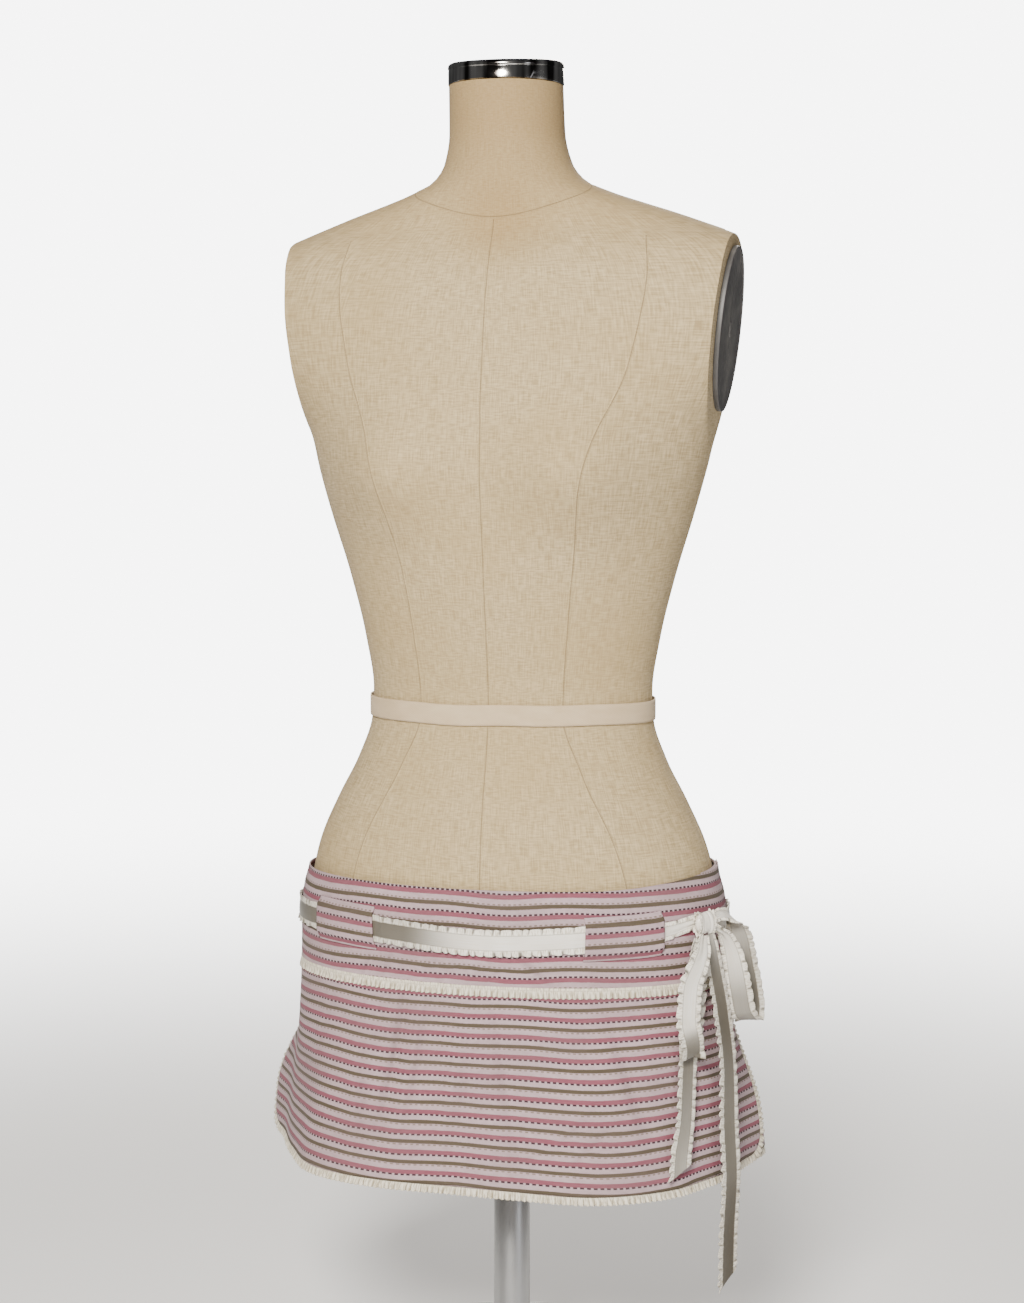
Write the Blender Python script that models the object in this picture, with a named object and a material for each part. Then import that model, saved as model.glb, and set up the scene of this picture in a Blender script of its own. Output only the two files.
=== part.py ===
"""A short striped wrap skirt, tied at the hip with a ruffled ribbon, on a limbless dress form.

Metres, +Z up. The origin is on the floor under the pole. The figure faces -Y, and its left hip is at +X.
An angle round the figure is 0 at centre front and grows towards its left, so 180 is centre back.
"""
import math
from collections import namedtuple

import bmesh
import bpy
from mathutils import Vector

# Heights above the floor
BASE_THICK = 0.014
TORSO_BOTTOM = 0.268
HEM = 0.2165
SEAM = 0.371
SKIRT_TOP = 0.450
HIP_RISE = 0.008
RIBBON_HEIGHT = 0.4145
RIBBON_SAG = 0.0060
WAIST_TAPE_LOW = 0.5755
WAIST_TAPE_HIGH = 0.5930
NECK_TOP = 1.082
CAP_TOP = 1.101

# Cloth walls and the gaps between pieces
CLOTH = 0.0011
GAP = 0.0004
SEAM_GAP = 0.0003
UNDERLAP_DROP = CLOTH + 0.0008

# The skirt's pieces, as angles in degrees
SLIT_ANGLE = -97.0
WRAP_END_ANGLE = 99.0
UNDER_YOKE_END = 80.0
UNDER_PANEL_START = -88.0
UNDER_PANEL_END = 84.0
COLUMN_STEP = 4.0
CORNER_COLUMNS = (1.2, 3.0)
CORNER_RADIUS = 0.020
TRIM_WIDTH = 0.0060
TRIM_THICK = 0.0010

# The ribbon: a satin middle with a gathered frill on each side
RIBBON_THICK = 0.0010
SATIN_HALF = 0.0060
RIBBON_HALF = 0.0110
FRILL_PITCH = 0.0100
FRILL_WAVE = 0.0009
KNOT_ANGLE = 74.0
KNOT_HEIGHT = 0.421

# Belt carriers, each as an angle at its middle
CARRIER_ANGLES = (-54.0, 51.5, 130.0, -130.0)
CARRIER_WIDTH = 0.056
CARRIER_HEIGHT = 0.035
CARRIER_ARCH = 0.0021

# The stand
BASE_RADIUS = 0.190
POLE_RADIUS = 0.015
COLLAR_RADIUS = 0.030
COLLAR_HEIGHT = 0.022

# Armhole plates, cut flat into the shoulders and leaning in towards their lower end
PLATE_CENTRE_X = 0.1735
PLATE_CENTRE_Y = 0.010
PLATE_CENTRE_HEIGHT = 0.890
PLATE_LEAN_DEG = 6.0
PLATE_THICK = 0.004

Section = namedtuple("Section", "height half_width front back power shift")

FORM_SECTIONS = [
    Section(0.262, 0.1660, 0.0900, 0.1080, 2.10, 0.000),
    Section(0.310, 0.1720, 0.0970, 0.1150, 2.10, 0.000),
    Section(0.360, 0.1748, 0.1005, 0.1185, 2.10, 0.000),
    Section(0.400, 0.1745, 0.1040, 0.1175, 2.05, 0.000),
    Section(0.440, 0.1692, 0.1060, 0.1120, 2.00, 0.000),
    Section(0.459, 0.1655, 0.1050, 0.1070, 2.00, 0.000),
    Section(0.476, 0.1605, 0.1030, 0.1020, 2.00, 0.000),
    Section(0.509, 0.1455, 0.0970, 0.0930, 2.00, 0.000),
    Section(0.542, 0.1285, 0.0870, 0.0850, 2.00, 0.000),
    Section(0.575, 0.1175, 0.0790, 0.0810, 2.00, 0.000),
    Section(0.598, 0.1163, 0.0775, 0.0815, 2.00, 0.000),
    Section(0.641, 0.1225, 0.0830, 0.0860, 2.00, 0.000),
    Section(0.691, 0.1345, 0.0920, 0.0930, 2.00, 0.000),
    Section(0.740, 0.1490, 0.0980, 0.1000, 2.05, 0.000),
    Section(0.780, 0.1600, 0.1020, 0.1060, 2.10, 0.000),
    Section(0.805, 0.1665, 0.1015, 0.1080, 2.10, 0.000),
    Section(0.835, 0.1830, 0.1005, 0.1090, 2.10, 0.000),
    Section(0.870, 0.2080, 0.0970, 0.1080, 2.10, 0.002),
    Section(0.905, 0.2250, 0.0920, 0.1040, 2.10, 0.004),
    Section(0.935, 0.2200, 0.0840, 0.0960, 2.10, 0.006),
    Section(0.955, 0.2020, 0.0740, 0.0860, 2.10, 0.006),
    Section(0.966, 0.1780, 0.0680, 0.0780, 2.00, 0.006),
    Section(0.974, 0.1560, 0.0640, 0.0740, 2.00, 0.004),
    Section(0.982, 0.1330, 0.0610, 0.0690, 2.00, 0.002),
    Section(0.990, 0.1080, 0.0590, 0.0640, 2.00, 0.000),
    Section(0.998, 0.0840, 0.0570, 0.0590, 2.00, -0.003),
    Section(1.008, 0.0620, 0.0530, 0.0540, 2.00, -0.007),
    Section(1.022, 0.0515, 0.0490, 0.0495, 2.00, -0.011),
    Section(1.045, 0.0465, 0.0465, 0.0465, 2.00, -0.015),
    Section(1.082, 0.0457, 0.0457, 0.0457, 2.00, -0.019),
]

# The inner face of the outer cloth, from the top edge to the hem
SKIRT_SECTIONS = [
    Section(0.212, 0.1915, 0.1290, 0.1400, 2.60, 0.000),
    Section(0.262, 0.1860, 0.1200, 0.1330, 2.45, 0.000),
    Section(0.310, 0.1805, 0.1120, 0.1270, 2.30, 0.000),
    Section(0.345, 0.1785, 0.1070, 0.1235, 2.18, 0.000),
    Section(0.371, 0.1780, 0.1050, 0.1220, 2.12, 0.000),
    Section(0.411, 0.1773, 0.1075, 0.1215, 2.10, 0.000),
    Section(0.432, 0.1755, 0.1090, 0.1185, 2.06, 0.000),
    Section(0.450, 0.1710, 0.1087, 0.1135, 2.04, 0.000),
    Section(0.462, 0.1694, 0.1080, 0.1100, 2.02, 0.000),
]

Fold = namedtuple("Fold", "angle spread depth")

# Soft flutes of the flared body, in degrees and metres, at full depth on the hem
FOLDS = [
    Fold(-102.0, 11.0, 0.0340),
    Fold(-70.0, 12.0, -0.0095),
    Fold(-12.0, 14.0, -0.0025),
    Fold(37.0, 16.0, 0.0090),
    Fold(70.0, 9.0, -0.0060),
    Fold(104.0, 10.0, 0.0195),
    Fold(122.0, 8.0, -0.0040),
    Fold(140.0, 13.0, 0.0070),
    Fold(160.0, 9.0, -0.0040),
    Fold(180.0, 13.0, 0.0060),
    Fold(-160.0, 9.0, -0.0040),
    Fold(-138.0, 13.0, 0.0080),
    Fold(-121.0, 8.0, -0.0030),
]

RibbonRow = namedtuple("RibbonRow", "angle height standoff half across_back across_out across_up")

# Centrelines of the bow, from the knot outwards; standoff is from the cloth's outer face
FRONT_LOOP = [
    RibbonRow(73.0, 0.4116, 0.0108, 0.0042, 1.0, 0.0, 0.0),
    RibbonRow(71.8, 0.4020, 0.0170, 0.0070, 1.0, 0.0, 0.0),
    RibbonRow(70.6, 0.3920, 0.0195, 0.0095, 1.0, 0.0, 0.0),
    RibbonRow(68.5, 0.3730, 0.0200, 0.0110, 1.0, 0.0, 0.0),
    RibbonRow(67.0, 0.3480, 0.0185, 0.0110, 1.0, 0.0, 0.0),
    RibbonRow(67.3, 0.3270, 0.0155, 0.0110, 1.0, 0.0, 0.0),
    RibbonRow(68.0, 0.3205, 0.0120, 0.0110, 1.0, 0.0, 0.0),
    RibbonRow(69.0, 0.3290, 0.0085, 0.0110, 1.0, 0.0, 0.0),
    RibbonRow(70.0, 0.3480, 0.0085, 0.0110, 1.0, 0.0, 0.0),
    RibbonRow(71.0, 0.3730, 0.0088, 0.0105, 1.0, 0.0, 0.0),
    RibbonRow(71.8, 0.3950, 0.0082, 0.0070, 1.0, 0.0, 0.0),
    RibbonRow(73.0, 0.4106, 0.0070, 0.0040, 1.0, 0.0, 0.0),
]
BACK_LOOP = [
    RibbonRow(76.4, 0.4232, 0.0090, 0.0042, 0.1, 0.7, -0.7),
    RibbonRow(79.6, 0.4256, 0.0112, 0.0060, 0.1, 0.7, -0.7),
    RibbonRow(82.5, 0.4265, 0.0140, 0.0080, 0.1, 0.7, -0.7),
    RibbonRow(86.5, 0.4245, 0.0185, 0.0100, 0.2, 0.8, -0.5),
    RibbonRow(89.5, 0.4130, 0.0215, 0.0110, 0.3, 0.9, 0.0),
    RibbonRow(91.0, 0.3880, 0.0220, 0.0110, 0.4, 0.9, 0.0),
    RibbonRow(90.5, 0.3630, 0.0225, 0.0110, 0.4, 0.9, 0.0),
    RibbonRow(88.5, 0.3440, 0.0225, 0.0110, 0.4, 0.9, 0.0),
    RibbonRow(86.0, 0.3365, 0.0215, 0.0110, 0.4, 0.9, 0.0),
    RibbonRow(83.5, 0.3440, 0.0205, 0.0110, 0.4, 0.9, 0.0),
    RibbonRow(82.6, 0.3660, 0.0200, 0.0110, 0.4, 0.9, 0.0),
    RibbonRow(81.6, 0.3900, 0.0185, 0.0095, 0.4, 0.9, 0.0),
    RibbonRow(80.0, 0.4075, 0.0150, 0.0065, 0.4, 0.9, 0.0),
    RibbonRow(76.6, 0.4172, 0.0100, 0.0040, 0.4, 0.9, 0.0),
]
SHORT_TAIL = [
    RibbonRow(72.8, 0.4085, 0.0036, 0.0042, 1.0, 0.0, 0.0),
    RibbonRow(72.0, 0.3900, 0.0034, 0.0060, 1.0, 0.0, 0.0),
    RibbonRow(70.5, 0.3550, 0.0034, 0.0080, 1.0, 0.0, 0.0),
    RibbonRow(67.5, 0.3100, 0.0045, 0.0095, 1.0, 0.0, 0.0),
    RibbonRow(64.0, 0.2700, 0.0055, 0.0100, 1.0, 0.0, 0.0),
    RibbonRow(60.8, 0.2400, 0.0055, 0.0100, 1.0, 0.0, 0.0),
    RibbonRow(59.2, 0.2220, 0.0055, 0.0100, 1.0, 0.0, 0.0),
]
LONG_TAIL = [
    RibbonRow(75.5, 0.4117, 0.0080, 0.0042, 1.0, 0.1, 0.0),
    RibbonRow(76.4, 0.4030, 0.0076, 0.0060, 1.0, 0.1, 0.0),
    RibbonRow(77.3, 0.3860, 0.0080, 0.0085, 1.0, 0.1, 0.0),
    RibbonRow(77.8, 0.3500, 0.0095, 0.0105, 1.0, 0.1, 0.0),
    RibbonRow(77.0, 0.3050, 0.0105, 0.0110, 1.0, 0.1, 0.0),
    RibbonRow(76.5, 0.2600, 0.0100, 0.0110, 1.0, 0.1, 0.0),
    RibbonRow(76.0, 0.2150, 0.0095, 0.0110, 1.0, 0.1, 0.0),
    RibbonRow(75.7, 0.1700, 0.0080, 0.0110, 1.0, 0.1, 0.0),
    RibbonRow(75.4, 0.1240, 0.0070, 0.0110, 1.0, 0.1, 0.0),
]
TAIL_CUT = 0.016

COLOURS = {
    "stripe_cloth": (0.76, 0.66, 0.68, 1.0),
    "ribbon": (0.86, 0.84, 0.76, 1.0),
    "frill_trim": (0.88, 0.86, 0.80, 1.0),
    "linen": (0.62, 0.56, 0.45, 1.0),
    "tape": (0.74, 0.68, 0.60, 1.0),
    "plate": (0.13, 0.13, 0.14, 1.0),
    "steel": (0.62, 0.62, 0.63, 1.0),
}
METALS = ("steel",)


def clear_scene():
    for found in list(bpy.data.objects):
        bpy.data.objects.remove(found)


def material(name):
    made = bpy.data.materials.get(name) or bpy.data.materials.new(name)
    made.use_nodes = True
    shader = made.node_tree.nodes["Principled BSDF"]
    shader.inputs["Base Color"].default_value = COLOURS[name]
    shader.inputs["Metallic"].default_value = 1.0 if name in METALS else 0.0
    shader.inputs["Roughness"].default_value = 0.25 if name in METALS else 0.8
    return made


def add_object(name, bm, finish):
    """One closed mesh as a named object, with its faces pointing out and shaded smooth."""
    bm.normal_update()
    bmesh.ops.recalc_face_normals(bm, faces=bm.faces)
    if bm.calc_volume(signed=True) < 0.0:
        bmesh.ops.reverse_faces(bm, faces=bm.faces)
    mesh = bpy.data.meshes.new(name)
    bm.to_mesh(mesh)
    bm.free()
    mesh.shade_smooth()
    mesh.set_sharp_from_angle(angle=math.radians(40.0))
    mesh.materials.append(material(finish))
    made = bpy.data.objects.new(name, mesh)
    bpy.context.scene.collection.objects.link(made)
    return made


def smooth_step(low, high, value):
    share = min(1.0, max(0.0, (value - low) / (high - low)))
    return share * share * (3.0 - 2.0 * share)


def slope_at(xs, ys, i):
    """A slope that never overshoots its neighbours."""
    if i == 0 or i == len(xs) - 1:
        j = min(i, len(xs) - 2)
        return (ys[j + 1] - ys[j]) / (xs[j + 1] - xs[j])
    before = (ys[i] - ys[i - 1]) / (xs[i] - xs[i - 1])
    after = (ys[i + 1] - ys[i]) / (xs[i + 1] - xs[i])
    return 0.0 if before * after <= 0.0 else 2.0 * before * after / (before + after)


def eased(xs, ys, x):
    """The value at x of a smooth curve through the points."""
    x = min(max(x, xs[0]), xs[-1])
    i = next(k for k in range(len(xs) - 1) if x <= xs[k + 1])
    span = xs[i + 1] - xs[i]
    t = (x - xs[i]) / span
    start, end = slope_at(xs, ys, i) * span, slope_at(xs, ys, i + 1) * span
    return (
        ys[i] * (2 * t**3 - 3 * t**2 + 1)
        + start * (t**3 - 2 * t**2 + t)
        + ys[i + 1] * (3 * t**2 - 2 * t**3)
        + end * (t**3 - t**2)
    )


def section_at(table, height):
    heights = [row.height for row in table]
    values = [eased(heights, [row[k] for row in table], height) for k in range(1, 6)]
    return Section(height, *values)


def ring_radius(section, angle_deg):
    """Distance from the axis to a rounded oval, deeper or shallower at the front than at the back."""
    angle = math.radians(angle_deg)
    depth = section.front if math.cos(angle) > 0.0 else section.back
    across = abs(math.sin(angle)) / section.half_width
    along = abs(math.cos(angle)) / depth
    return (across**section.power + along**section.power) ** (-1.0 / section.power)


def polar(angle_deg, radius, height, shift=0.0):
    angle = math.radians(angle_deg)
    return Vector((radius * math.sin(angle), shift - radius * math.cos(angle), height))


def unit_grid(columns, rows, place, layers=2, merge=False):
    """A grid whose points go where place(u, v, layer) says; two layers make a wall with closed rims."""
    bm = bmesh.new()
    bmesh.ops.create_grid(bm, x_segments=columns, y_segments=rows, size=1.0)
    homes = {vert: (0.5 + 0.5 * vert.co.x, 0.5 + 0.5 * vert.co.y, 0) for vert in bm.verts}
    if layers == 2:
        made = bmesh.ops.extrude_face_region(bm, geom=bm.faces[:])["geom"]
        outer = [item for item in made if isinstance(item, bmesh.types.BMVert)]
        homes.update({vert: (0.5 + 0.5 * vert.co.x, 0.5 + 0.5 * vert.co.y, 1) for vert in outer})
    for vert, home in homes.items():
        vert.co = place(*home)
    if merge:
        bmesh.ops.remove_doubles(bm, verts=bm.verts, dist=1e-6)
    return bm


# The dress form

BUST_HALF_SPREAD = 0.078
BUST_HEIGHT = 0.778
BUST_ROUND = 0.050
BUST_DEPTH = 0.030
TORSO_COLUMNS = 36
BUST_ROWS_PER_SECTION = 2


def torso_point(angle_deg, height):
    section = section_at(FORM_SECTIONS, height)
    point = polar(angle_deg, ring_radius(section, angle_deg), height, section.shift)
    if point.y < 0.0:
        sideways = (abs(point.x) - BUST_HALF_SPREAD) / BUST_ROUND
        upward = (height - BUST_HEIGHT) / BUST_ROUND
        point.y -= BUST_DEPTH * math.exp(-(sideways**2) - upward**2)
    return point


def torso_heights():
    heights = [TORSO_BOTTOM]
    for low, high in zip(FORM_SECTIONS, FORM_SECTIONS[1:]):
        steps = BUST_ROWS_PER_SECTION if abs(low.height - BUST_HEIGHT) < BUST_ROUND else 1
        for step in range(1, steps + 1):
            heights.append(low.height + (high.height - low.height) * step / steps)
    return heights


def plate_plane(side, outwards=0.0):
    """A point and the outward normal of an armhole's flat, on the figure's left (1) or right (-1)."""
    lean = math.radians(PLATE_LEAN_DEG)
    normal = Vector((side * math.cos(lean), 0.0, -math.sin(lean)))
    return Vector((side * PLATE_CENTRE_X, PLATE_CENTRE_Y, PLATE_CENTRE_HEIGHT)) + normal * outwards, normal


ARMHOLE_LOWEST = 0.735


def build_torso():
    heights = torso_heights()
    rows = len(heights) - 1

    def place(u, v, _layer):
        return torso_point(360.0 * u, heights[round(v * rows)])

    bm = unit_grid(TORSO_COLUMNS, rows, place, layers=1, merge=True)
    bmesh.ops.holes_fill(bm, edges=[edge for edge in bm.edges if edge.is_boundary])
    for side in (-1, 1):
        point, normal = plate_plane(side)
        geom = [vert for vert in bm.verts if vert.co.z > ARMHOLE_LOWEST]
        geom += [edge for edge in bm.edges if all(vert.co.z > ARMHOLE_LOWEST for vert in edge.verts)]
        geom += [face for face in bm.faces if all(vert.co.z > ARMHOLE_LOWEST for vert in face.verts)]
        cut = bmesh.ops.bisect_plane(bm, geom=geom, dist=1e-6, plane_co=point, plane_no=normal, clear_outer=True)
        rim = [item for item in cut["geom_cut"] if isinstance(item, bmesh.types.BMEdge)]
        bmesh.ops.holes_fill(bm, edges=rim)
    add_object("form_torso", bm, "linen")


PLATE_HALF_WIDTH = 0.0500
PLATE_HALF_HEIGHT = 0.0660
PLATE_SEGMENTS = 32
PLATE_BEVEL = 0.0012


def build_armhole_plate(name, side):
    """An oval plate, 0.3 mm off the flat that it covers."""
    bm = bmesh.new()
    bmesh.ops.create_cone(
        bm, cap_ends=True, cap_tris=True, segments=PLATE_SEGMENTS, radius1=1.0, radius2=1.0, depth=PLATE_THICK
    )
    rims = [edge for edge in bm.edges if all(vert.co.z > 0.0 and vert.co.xy.length > 0.5 for vert in edge.verts)]
    for vert in bm.verts:
        vert.co.x *= PLATE_HALF_WIDTH
        vert.co.y *= PLATE_HALF_HEIGHT
    bm.normal_update()
    bmesh.ops.bevel(
        bm, geom=rims, offset=PLATE_BEVEL, segments=1, profile=0.5, affect="EDGES", material=-1
    )
    point, normal = plate_plane(side, SEAM_GAP + PLATE_THICK / 2.0)
    upright = Vector((side * math.sin(math.radians(PLATE_LEAN_DEG)), 0.0, math.cos(math.radians(PLATE_LEAN_DEG))))
    forward = Vector((0.0, float(side), 0.0))
    for vert in bm.verts:
        vert.co = point + forward * vert.co.x + upright * vert.co.y + normal * vert.co.z
    add_object(name, bm, "plate")


CAP_ROUND = 0.007
CAP_SEGMENTS = 32
CAP_LIP = 0.0006
CAP_TILT_DEG = 5.0


def build_neck_cap():
    """A pressed metal cap, leaning forward a little with the neck."""
    top = FORM_SECTIONS[-1]
    profile = [(0.0, top.half_width + CAP_LIP)]
    profile.append((CAP_TOP - NECK_TOP - SEAM_GAP - CAP_ROUND, top.half_width + CAP_LIP))
    for step in range(1, 5):
        turn = math.radians(22.5 * step)
        rise = CAP_TOP - NECK_TOP - SEAM_GAP - CAP_ROUND * (1.0 - math.sin(turn))
        profile.append((rise, top.half_width + CAP_LIP - CAP_ROUND * (1.0 - math.cos(turn))))
    tilt = math.tan(math.radians(CAP_TILT_DEG))

    def place(u, v, _layer):
        rise, radius = profile[round(v * (len(profile) - 1))]
        point = polar(360.0 * u, radius, NECK_TOP + SEAM_GAP + rise, top.shift)
        point.z += tilt * (point.y - top.shift) * rise / (CAP_TOP - NECK_TOP)
        return point

    bm = unit_grid(CAP_SEGMENTS, len(profile) - 1, place, layers=1, merge=True)
    bmesh.ops.holes_fill(bm, edges=[edge for edge in bm.edges if edge.is_boundary])
    add_object("neck_cap", bm, "steel")


TAPE_THICK = 0.0012


def build_waist_tape():
    """A flat tape round the waist: its section's four corners, swept round the figure."""
    corners = [
        (WAIST_TAPE_LOW, GAP),
        (WAIST_TAPE_HIGH, GAP),
        (WAIST_TAPE_HIGH, GAP + TAPE_THICK),
        (WAIST_TAPE_LOW, GAP + TAPE_THICK),
    ]

    def place(u, v, _layer):
        height, outwards = corners[round(v * 4) % 4]
        angle = 360.0 * u
        lowest = ring_radius(section_at(FORM_SECTIONS, WAIST_TAPE_LOW), angle)
        highest = ring_radius(section_at(FORM_SECTIONS, WAIST_TAPE_HIGH), angle)
        return polar(angle, max(lowest, highest) + outwards, height)

    add_object("waist_tape", unit_grid(TORSO_COLUMNS, 4, place, layers=1, merge=True), "tape")


def lathe(name, profile, segments, finish):
    """A solid turned about the axis, from (radius, height) points that run up its side."""

    def place(u, v, _layer):
        radius, height = profile[round(v * (len(profile) - 1))]
        return polar(360.0 * u, radius, height)

    bm = unit_grid(segments, len(profile) - 1, place, layers=1, merge=True)
    bmesh.ops.holes_fill(bm, edges=[edge for edge in bm.edges if edge.is_boundary])
    add_object(name, bm, finish)


BASE_EDGE = 0.004


def build_stand():
    rim = BASE_RADIUS - BASE_EDGE
    low = [(BASE_RADIUS, 0.0), (BASE_RADIUS, BASE_THICK - BASE_EDGE)]
    round_off = [(rim + BASE_EDGE * 0.7, BASE_THICK - BASE_EDGE * 0.3), (rim, BASE_THICK)]
    lathe("stand_base", low + round_off, 48, "steel")
    pole_foot = BASE_THICK + SEAM_GAP
    pole_head = TORSO_BOTTOM - SEAM_GAP
    lathe("stand_pole", [(POLE_RADIUS, pole_foot), (POLE_RADIUS, pole_head)], 24, "steel")
    inner = POLE_RADIUS + SEAM_GAP
    corners = [(inner, pole_foot), (COLLAR_RADIUS, pole_foot), (inner + 0.004, pole_foot + COLLAR_HEIGHT),
               (inner, pole_foot + COLLAR_HEIGHT)]

    def place(u, v, _layer):
        radius, height = corners[round(v * 4) % 4]
        return polar(360.0 * u, radius, height)

    add_object("stand_collar", unit_grid(24, 4, place, layers=1, merge=True), "steel")


# The skirt's surface


FOLDS_START = 0.352
FOLDS_FULL = 0.246


def fold_depth(angle_deg, height):
    """How far the flutes stand out: nothing at the yoke seam, all of it in the lowest part."""
    share = smooth_step(0.0, 1.0, (FOLDS_START - height) / (FOLDS_START - FOLDS_FULL))
    total = 0.0
    for fold in FOLDS:
        away = (angle_deg - fold.angle + 180.0) % 360.0 - 180.0
        total += fold.depth * math.exp(-((away / fold.spread) ** 2))
    return total * share


def cloth_radius(angle_deg, height):
    """The inner face of the outer layer of cloth."""
    return ring_radius(section_at(SKIRT_SECTIONS, height), angle_deg) + fold_depth(angle_deg, height)


def skirt_point(angle_deg, height, outwards):
    return polar(angle_deg, cloth_radius(angle_deg, height) + outwards, height)


def column_angles(start, end, step=COLUMN_STEP):
    """The two ends and the multiples of the step between them, so that layers share their columns."""
    first = math.ceil((start + 0.9) / step)
    last = math.floor((end - 0.9) / step)
    return [start] + [step * k for k in range(first, last + 1)] + [end]


def corner_rise(angle_deg):
    """How far a rounded corner lifts the front panel's lower edge, and which way that edge faces there."""
    edge = WRAP_END_ANGLE if angle_deg > 0.0 else SLIT_ANGLE
    to_edge = math.radians(abs(edge - angle_deg)) * cloth_radius(edge, HEM)
    across = max(0.0, CORNER_RADIUS - to_edge)
    drop = math.sqrt(CORNER_RADIUS**2 - across**2)
    return CORNER_RADIUS - drop, -math.degrees(math.atan2(drop, across))


YOKE_ROWS = 3
PANEL_ROWS = 8


def top_height(angle_deg):
    """The top edge rises a little on the left hip, where the wrap ends."""
    turned = angle_deg % 360.0
    return SKIRT_TOP + HIP_RISE * smooth_step(45.0, 92.0, turned) * (1.0 - smooth_step(100.0, 160.0, turned))


def build_cloth_piece(name, angles, rows, low, high, sunk):
    """A wall between two edges given by low(angle) and high(angle), sunk(angle) under the outer layer."""

    def place(u, v, layer):
        angle = angles[round(u * (len(angles) - 1))]
        height = low(angle) + (high(angle) - low(angle)) * v
        return skirt_point(angle, height, CLOTH * layer - sunk(angle))

    add_object(name, unit_grid(len(angles) - 1, rows, place), "stripe_cloth")


def flush(_angle):
    return 0.0


def sunk_at_wrap(angle):
    """The under end of the yoke lies one layer further in, below the wrap's end."""
    return UNDERLAP_DROP * (1.0 - smooth_step(104.0, 116.0, angle % 360.0))


def sunk_at_both_sides(angle):
    """The back panel lies one layer further in at the wrap and at the slit."""
    turned = angle % 360.0
    return UNDERLAP_DROP * (1.0 - smooth_step(104.0, 116.0, turned) + smooth_step(244.0, 256.0, turned))


def front_panel_angles():
    """The shared columns, with closer ones in the rounded corners."""
    angles = column_angles(SLIT_ANGLE, WRAP_END_ANGLE)
    inner = [angle for angle in angles if SLIT_ANGLE + 4.0 < angle < WRAP_END_ANGLE - 4.0]
    left = [SLIT_ANGLE] + [SLIT_ANGLE + more for more in CORNER_COLUMNS]
    right = [WRAP_END_ANGLE - more for more in reversed(CORNER_COLUMNS)] + [WRAP_END_ANGLE]
    return left + inner + right


def front_panel_low(angle):
    return HEM + corner_rise(angle)[0]


def build_cloth():
    meet = 360.0 + SLIT_ANGLE - math.degrees(SEAM_GAP / 0.170)
    yoke_low = SEAM + SEAM_GAP
    front = column_angles(SLIT_ANGLE, WRAP_END_ANGLE)
    behind = column_angles(UNDER_YOKE_END, meet)
    build_cloth_piece("yoke_front", front, YOKE_ROWS, lambda _angle: yoke_low, top_height, flush)
    build_cloth_piece("yoke_back", behind, YOKE_ROWS, lambda _angle: yoke_low, top_height, sunk_at_wrap)
    angles = front_panel_angles()
    build_cloth_piece("panel_front", angles, PANEL_ROWS, front_panel_low, lambda _angle: SEAM, flush)
    angles = column_angles(UNDER_PANEL_END, 360.0 + UNDER_PANEL_START)
    build_cloth_piece(
        "panel_back", angles, PANEL_ROWS, lambda _angle: HEM, lambda _angle: SEAM, sunk_at_both_sides
    )


# Narrow frilled trims

TRIM_LIFT = 0.0002
TRIM_WAVE = 0.0012
EdgeStop = namedtuple("EdgeStop", "angle height heading")


def free_edge_stops():
    """Stops down the wrap's end, along the hem and up the slit; heading 0 faces the figure's left."""
    wrap_corner = front_panel_low(WRAP_END_ANGLE)
    slit_corner = front_panel_low(SLIT_ANGLE)
    start = top_height(WRAP_END_ANGLE)
    stops = []
    for step in range(YOKE_ROWS * 2):
        stops.append(EdgeStop(WRAP_END_ANGLE, start + (SEAM - start) * step / (YOKE_ROWS * 2), 0.0))
    for step in range(PANEL_ROWS + 1):
        stops.append(EdgeStop(WRAP_END_ANGLE, SEAM + (wrap_corner - SEAM) * step / PANEL_ROWS, 0.0))
    for angle in reversed(front_panel_angles()[1:-1]):
        rise, heading = corner_rise(angle)
        stops.append(EdgeStop(angle, HEM + rise, heading if angle > 0.0 else -180.0 - heading))
    for step in range(PANEL_ROWS):
        share = step / PANEL_ROWS
        stops.append(EdgeStop(SLIT_ANGLE, slit_corner + (SEAM - SEAM_GAP - slit_corner) * share, -180.0))
    stops.append(EdgeStop(SLIT_ANGLE, SEAM - SEAM_GAP, -180.0))
    return stops


def build_edge_trim(name, stops, sunk, waves=True):
    """A strip that starts just past the cloth's edge and stands out from it in the cloth's own surface."""

    def place(u, v, layer):
        index = round(u * (len(stops) - 1))
        stop = stops[index]
        reach = SEAM_GAP + TRIM_WIDTH * v
        heading = math.radians(stop.heading)
        radius = cloth_radius(stop.angle, stop.height)
        angle = stop.angle + math.degrees(reach * math.cos(heading) / radius)
        height = stop.height + reach * math.sin(heading)
        free = waves and stop.height < SEAM
        lift = TRIM_LIFT + (TRIM_WAVE * v * (index % 2) if free else 0.0)
        return skirt_point(angle, height, TRIM_THICK * layer + lift - sunk(stop.angle))

    add_object(name, unit_grid(len(stops) - 1, 1, place), "frill_trim")


SEAM_TRIM_STANDOFF = 0.0006
SEAM_TRIM_WAVE = 0.0010
SEAM_TRIM_STEP = COLUMN_STEP / 3.0


def build_seam_trim(name, angles, wave, sunk):
    """A frill over the join of yoke and body; its free lower edge waves in and out."""

    def place(u, v, layer):
        index = round(u * (len(angles) - 1))
        angle = angles[index]
        height = SEAM - TRIM_WIDTH * (1.0 - v)
        lift = wave * (index % 2) * (1.0 - v)
        return skirt_point(angle, height, CLOTH + SEAM_TRIM_STANDOFF + TRIM_THICK * layer + lift - sunk(angle))

    add_object(name, unit_grid(len(angles) - 1, 1, place), "frill_trim")


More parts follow.
